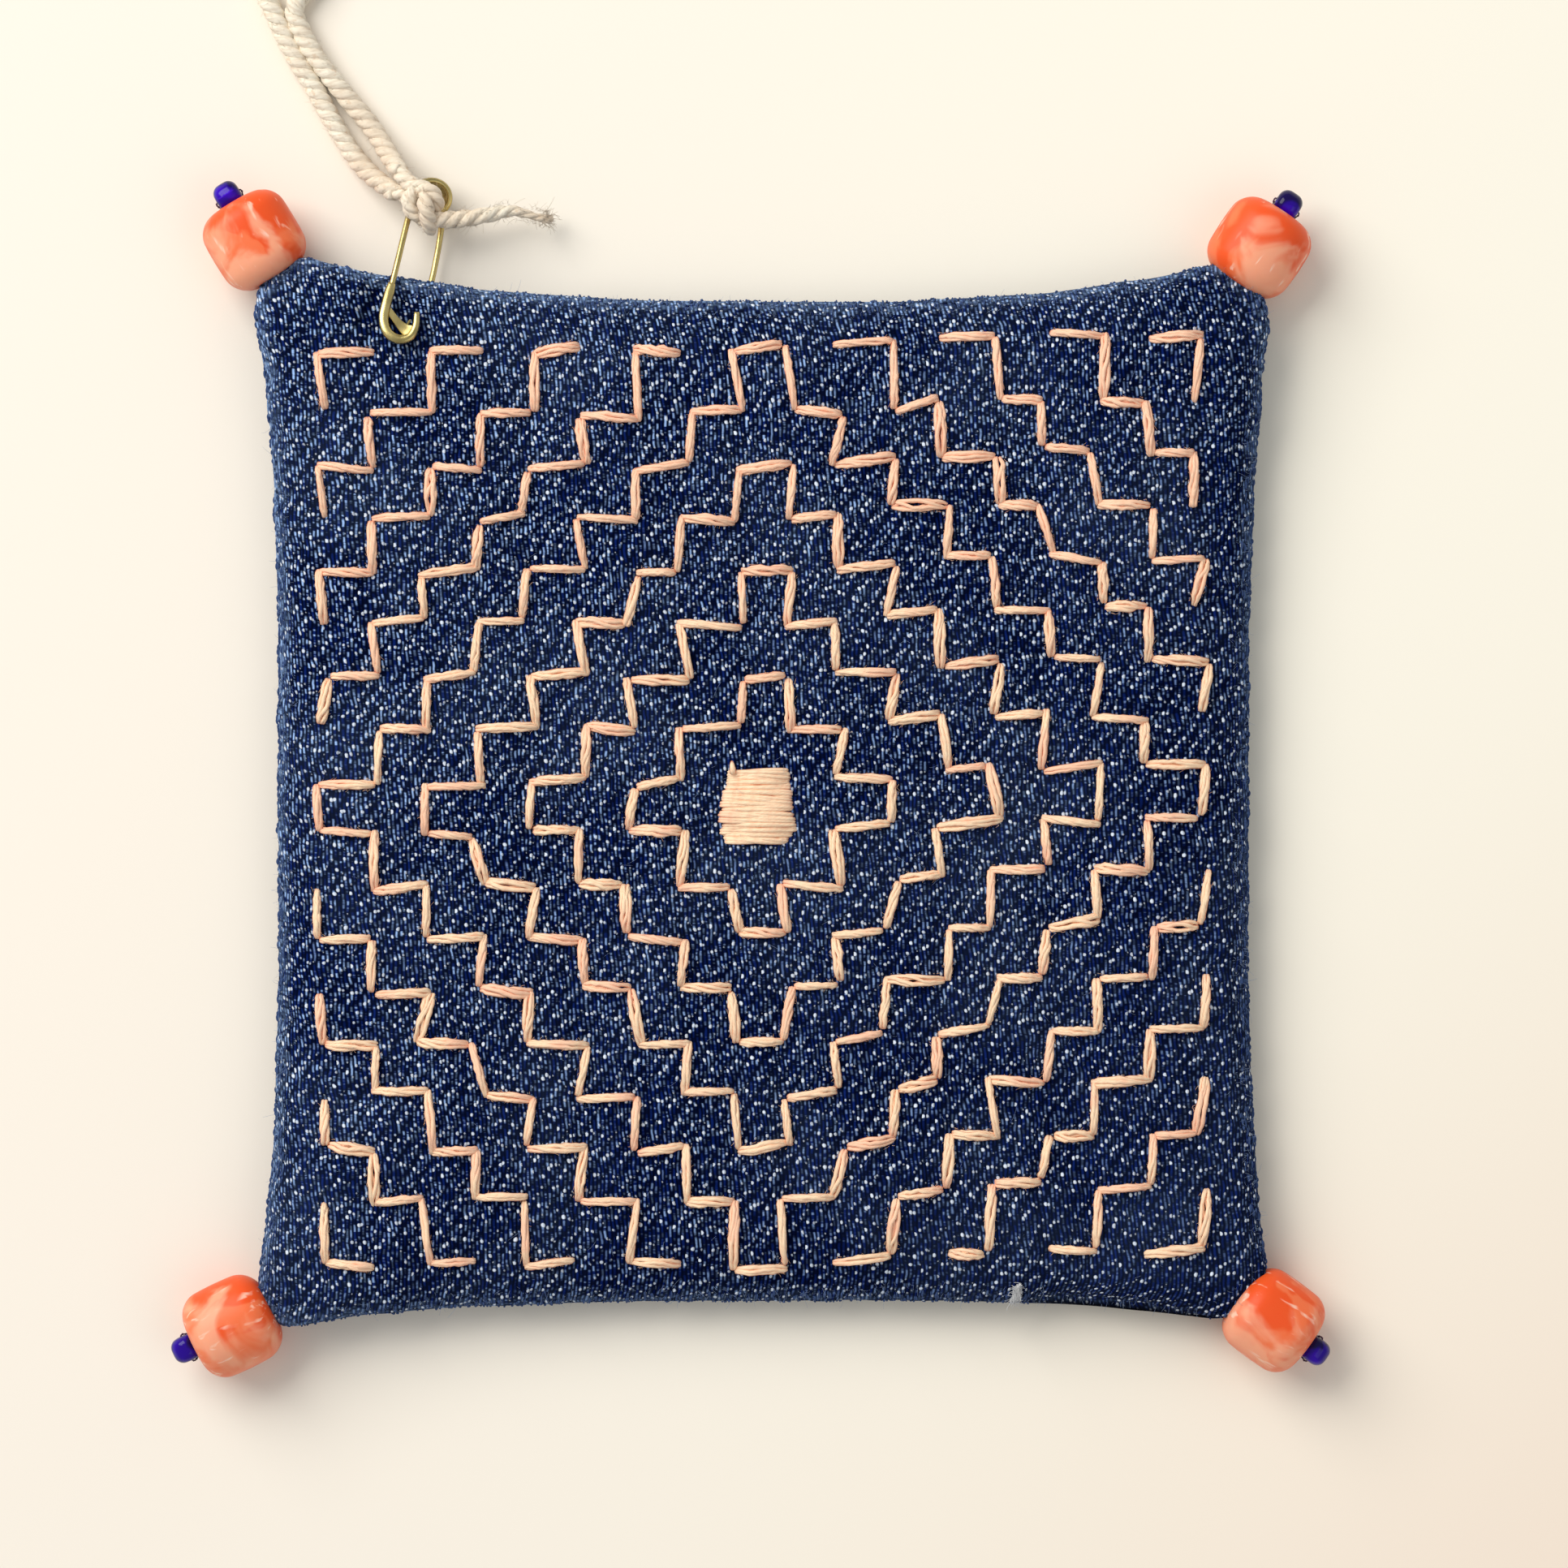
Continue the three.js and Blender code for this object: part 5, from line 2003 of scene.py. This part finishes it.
    def web_mesh(self) -> bpy.types.Object:
        """Models the thin web between the clasp's legs, dished and cut away at its middle.

        Returns:
            The web.
        """
        grid = np.array([[self.place(*p) for p in row] for row in self.web])
        parts = MeshParts()
        parts.grid(grid, np.zeros((*grid.shape[:2], 2)), False)
        web = parts.make("pin_clasp_web")
        select_only(web)
        web.modifiers.new("thickness", "SOLIDIFY").thickness = self.web_thickness
        bpy.ops.object.modifier_apply(modifier="thickness")
        refine(web, 2)
        return web

    def build(self, finishes: Finishes) -> None:
        """Models and dresses the pin.

        Args:
            finishes: The coaster's finishes.
        """
        fit_out(self.wire_mesh(), "brass", finishes.brass, "pin_wire")
        fit_out(self.clasp_mesh(), "brass", finishes.brass, "pin_clasp")


@dataclass
class CottonTie:
    """The soft cotton tie: a doubled cord, the knot on the pin's coil, and its free end."""

    radius: float = 1.0 * MM
    knot_radius: float = 0.92 * MM
    plies: int = 3
    lay: float = 3.9 * MM
    tail_turns: float = 2.9
    step: float = 0.25 * MM
    cord_hairs: int = 1500
    bight_hairs: int = 90
    tail_hairs: int = 220
    frayed_hairs: int = 70
    nestle_out: float = 0.15
    nestle_back: float = 0.75
    route: tuple[Point, ...] = (
        (-38.6, 63.7, 3.1),
        (-40.2, 64.9, 2.2),
        (-42.0, 66.5, 1.4),
        (-43.8, 68.9, 1.08),
        (-45.6, 71.9, 1.06),
        (-47.5, 75.1, 1.06),
        (-49.3, 78.0, 1.06),
        (-50.7, 80.7, 1.06),
        (-51.9, 83.4, 1.06),
        (-53.1, 86.4, 1.06),
        (-53.6, 89.6, 1.06),
        (-52.4, 92.7, 1.06),
        (-49.5, 94.2, 1.06),
        (-46.5, 92.9, 1.06),
        (-45.5, 89.9, 1.06),
        (-46.9, 86.6, 1.06),
        (-48.7, 83.5, 1.06),
        (-47.7, 80.5, 1.06),
        (-46.2, 78.0, 1.06),
        (-44.5, 75.6, 1.06),
        (-42.8, 73.1, 1.06),
        (-41.0, 70.5, 1.3),
        (-39.5, 68.0, 2.2),
        (-38.2, 65.9, 3.7),
    )
    knot: tuple[tuple[Point, ...], ...] = (
        (
            (-39.9, 68.6, 2.0),
            (-39.0, 67.2, 2.7),
            (-38.1, 65.8, 3.7),
            (-37.1, 64.7, 4.6),
            (-36.1, 64.2, 5.1),
            (-35.1, 63.9, 5.5),
            (-34.2, 63.0, 5.2),
            (-34.3, 62.0, 4.2),
        ),
        ((-35.3, 64.3, 4.2), (-36.5, 63.8, 5.0), (-37.1, 62.8, 5.3), (-36.8, 61.7, 5.2), (-35.9, 61.1, 4.7)),
        ((-35.4, 63.5, 5.4), (-35.4, 62.5, 6.2), (-35.2, 61.4, 6.1), (-35.0, 60.4, 5.2), (-34.9, 59.8, 4.0)),
        ((-36.6, 61.9, 3.9), (-35.7, 61.0, 4.5), (-34.4, 60.8, 4.9), (-33.0, 60.9, 4.8), (-31.4, 61.0, 4.3)),
        (
            (-39.6, 64.7, 2.5),
            (-38.5, 63.9, 3.1),
            (-37.4, 63.4, 3.7),
            (-36.4, 62.9, 3.9),
            (-35.4, 62.4, 4.2),
            (-34.4, 62.2, 3.2),
        ),
    )
    tail: tuple[tuple[Point, float], ...] = (
        ((-33.4, 60.8, 4.7), 1.0),
        ((-31.4, 61.0, 4.3), 0.98),
        ((-28.6, 61.5, 3.7), 0.85),
        ((-26.3, 61.9, 3.2), 0.62),
        ((-24.2, 61.4, 2.7), 0.42),
        ((-22.9, 61.1, 2.4), 0.5),
        ((-22.2, 61.2, 2.2), 0.3),
    )

    def build(self, finishes: Finishes) -> None:
        """Models and dresses the tie, and logs its cord's length.

        Args:
            finishes: The coaster's finishes.
        """
        points = metres(self.route)
        smooth = smooth_route(points, 8)
        path = even_route(smooth, 2 * self.step)
        length = float(reach_along(path)[-1])
        line = self.nestled(even_route(smooth, self.step))
        parts = MeshParts()
        uneven = np.array([1 + 0.06 * noise.noise(Vector(p) * 300) for p in line])
        plied(parts, line, self.radius * 1.08 * uneven, self.plies, length / self.lay, 9)
        self.hair(parts, line, self.cord_hairs, 0.8 * MM, 21)
        loop = parts.make("tie_doubled_cord")
        knot = fit_out(self.knot_mesh(), "cotton_cord", finishes.cotton, "tie_knot")
        fit_out(loop, "cotton_cord", finishes.cotton, "tie_loop")
        LOG.info("the tie's cord is %.1f mm long", length / MM)
        2 * self.radius

    def nestled(self, line: np.ndarray) -> np.ndarray:
        """Lets the two halves of the doubled cord lie against each other.

        Args:
            line: The cord's line, out from the knot and back.

        Returns:
            The line, with each half moved a little towards the other and the returning half a little higher.
        """
        reach = np.linspace(0, 1, len(line))
        turn = line[:, 1].argmax() / (len(line) - 1)
        returning = np.clip((reach - turn) / 0.1, 0, 1)
        beside = np.exp(-(((line[:, 1] / MM - 79.5) / 6.5) ** 4))
        moved = line.copy()
        moved[:, 0] += beside * np.where(reach < turn, self.nestle_out, -self.nestle_back) * MM
        moved[:, 2] += beside * returning * 0.35 * MM
        return moved

    def hair(self, parts: MeshParts, line: np.ndarray, count: int, length: float, seed: int) -> None:
        """Adds stray hairs round a line.

        Args:
            parts: The mesh that gets them.
            line: The line.
            count: How many hairs there are.
            length: About how long they are.
            seed: The seed for their places.
        """
        chance = np.random.default_rng(seed)
        picks = chance.integers(2, len(line) - 2, count)
        ahead = unit(line[picks + 1] - line[picks - 1])
        out = unit(np.cross(ahead, chance.normal(0, 1, (count, 3))))
        out[:, 2] = np.abs(out[:, 2])
        ways = out * 0.35 + ahead * chance.normal(0, 0.6, (count, 1))
        add_lint(parts, line[picks] + out * self.radius * 0.8, ways, length, 0.022 * MM, seed + 1)

    def knot_mesh(self) -> bpy.types.Object:
        """Models the knot on the coil and the free end that leaves it.

        Returns:
            The knot and free end as one mesh.
        """
        parts = MeshParts()
        for number, bight in enumerate(self.knot):
            line = even_route(smooth_route(metres(bight), 8), self.step)
            drawn_in = 0.75 + 0.25 * np.sin(np.linspace(0, math.pi, len(line))) ** 0.5
            turns = len(line) * self.step / self.lay
            plied(parts, line, self.knot_radius * drawn_in, self.plies, turns, 9)
            self.hair(parts, line, self.bight_hairs, 0.9 * MM, 31 + 2 * number)
        centres = metres(centre for centre, _ in self.tail)
        end = smooth_route(centres, 8)
        share = np.linspace(0, len(self.tail) - 1, len(end))
        radius = np.interp(share, range(len(self.tail)), [r * MM for _, r in self.tail])
        plied(parts, end, radius, self.plies, self.tail_turns, 9)
        self.hair(parts, end, self.tail_hairs, 1.1 * MM, 41)
        chance = np.random.default_rng(51)
        frayed = np.array(centres[-2]) + chance.normal(0, 0.3 * MM, (self.frayed_hairs, 3))
        ways = chance.normal(0, 0.5, (self.frayed_hairs, 3)) + np.array([0.7, 0.1, 0.0])
        add_lint(parts, frayed, ways, 1.0 * MM, 0.03 * MM, 52)
        return parts.make("tie_knot_and_end")


@dataclass
class Studio:
    """The cream table, the soft light from the upper left, and the camera above."""

    view_width: float = 164.4 * MM
    view_x: float = 2.1 * MM
    view_y: float = 1.8 * MM
    sharp_height: float = 3.4 * MM
    distance: float = 0.72
    sensor: float = 36.0
    key_power: float = 11.55
    fill_power: float = 0.8
    sky: float = 0.455

    def area_light(self, name: str, place: Point, size: float, power: float, colour: Point) -> None:
        """Adds a square light that faces the coaster.

        Args:
            name: Its name.
            place: Where it is.
            size: The length of its side.
            power: Its power, in watts.
            colour: Its colour.
        """
        lamp = bpy.data.lights.new(name, "AREA")
        lamp.size = size
        lamp.energy = power
        lamp.color = colour
        holder = bpy.data.objects.new(name, lamp)
        holder.location = place
        holder.rotation_euler = (-Vector(place)).to_track_quat("-Z", "Y").to_euler()
        bpy.context.scene.collection.objects.link(holder)

    def build(self) -> None:
        """Sets up the table, the lights and the camera."""
        bpy.ops.object.select_all(action="DESELECT")
        bpy.ops.mesh.primitive_plane_add(size=6, location=(0, 0, -0.05 * MM))
        table = bpy.context.object
        table.name = "table_top"
        bpy.ops.object.transform_apply(location=True, rotation=True, scale=True)
        table.data.materials.append(TableFinish().make())
        self.area_light("key", (-0.6, 0.55, 0.72), 0.8, self.key_power, (1.0, 0.975, 0.93))
        self.area_light("fill", (0.5, -0.3, 0.7), 0.6, self.fill_power, (1.0, 0.98, 0.95))
        world = bpy.data.worlds.new("room")
        world.use_nodes = True
        sky = {"Color": (0.94, 0.975, 1.0, 1), "Strength": self.sky}
        Graph(world.node_tree).feed(world.node_tree.nodes["Background"], sky)
        bpy.context.scene.world = world
        camera = bpy.data.cameras.new("above")
        camera.sensor_width = self.sensor
        camera.lens = self.sensor * (self.distance - self.sharp_height) / self.view_width
        camera.clip_start = 0.01
        holder = bpy.data.objects.new("above", camera)
        holder.location = (self.view_x, self.view_y, self.distance)
        bpy.context.scene.collection.objects.link(holder)
        bpy.context.scene.camera = holder
        bpy.context.scene.view_settings.view_transform = "Standard"


def main() -> None:
    """Builds the coaster's looks in order."""
    logging.basicConfig(level=logging.INFO, format="%(message)s")
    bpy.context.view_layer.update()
    bpy.ops.object.select_all(action="DESELECT")
    finishes = Finishes()
    Studio().build()
    CottonTie().build(finishes)
    embroidery = Embroidery()
    cushion = Cushion()
    cloth = fit_out(cushion.build(embroidery.holes()), "denim", finishes.denim, "denim_pad")
    fit_out(cushion.lint(), "denim", finishes.lint)
    fit_out(cushion.rim_yarns(), "denim", finishes.rim)
    fit_out(cushion.tuft(), "cotton_cord", finishes.filling)
    for node, piece in embroidery.build(cushion.face_height).items():
        fit_out(piece, "floss", finishes.floss, node)
    for corner in Corner:
        CornerBeads(corner).build(finishes)
    SafetyPin().build(finishes)


if __name__ == "__main__":
    main()
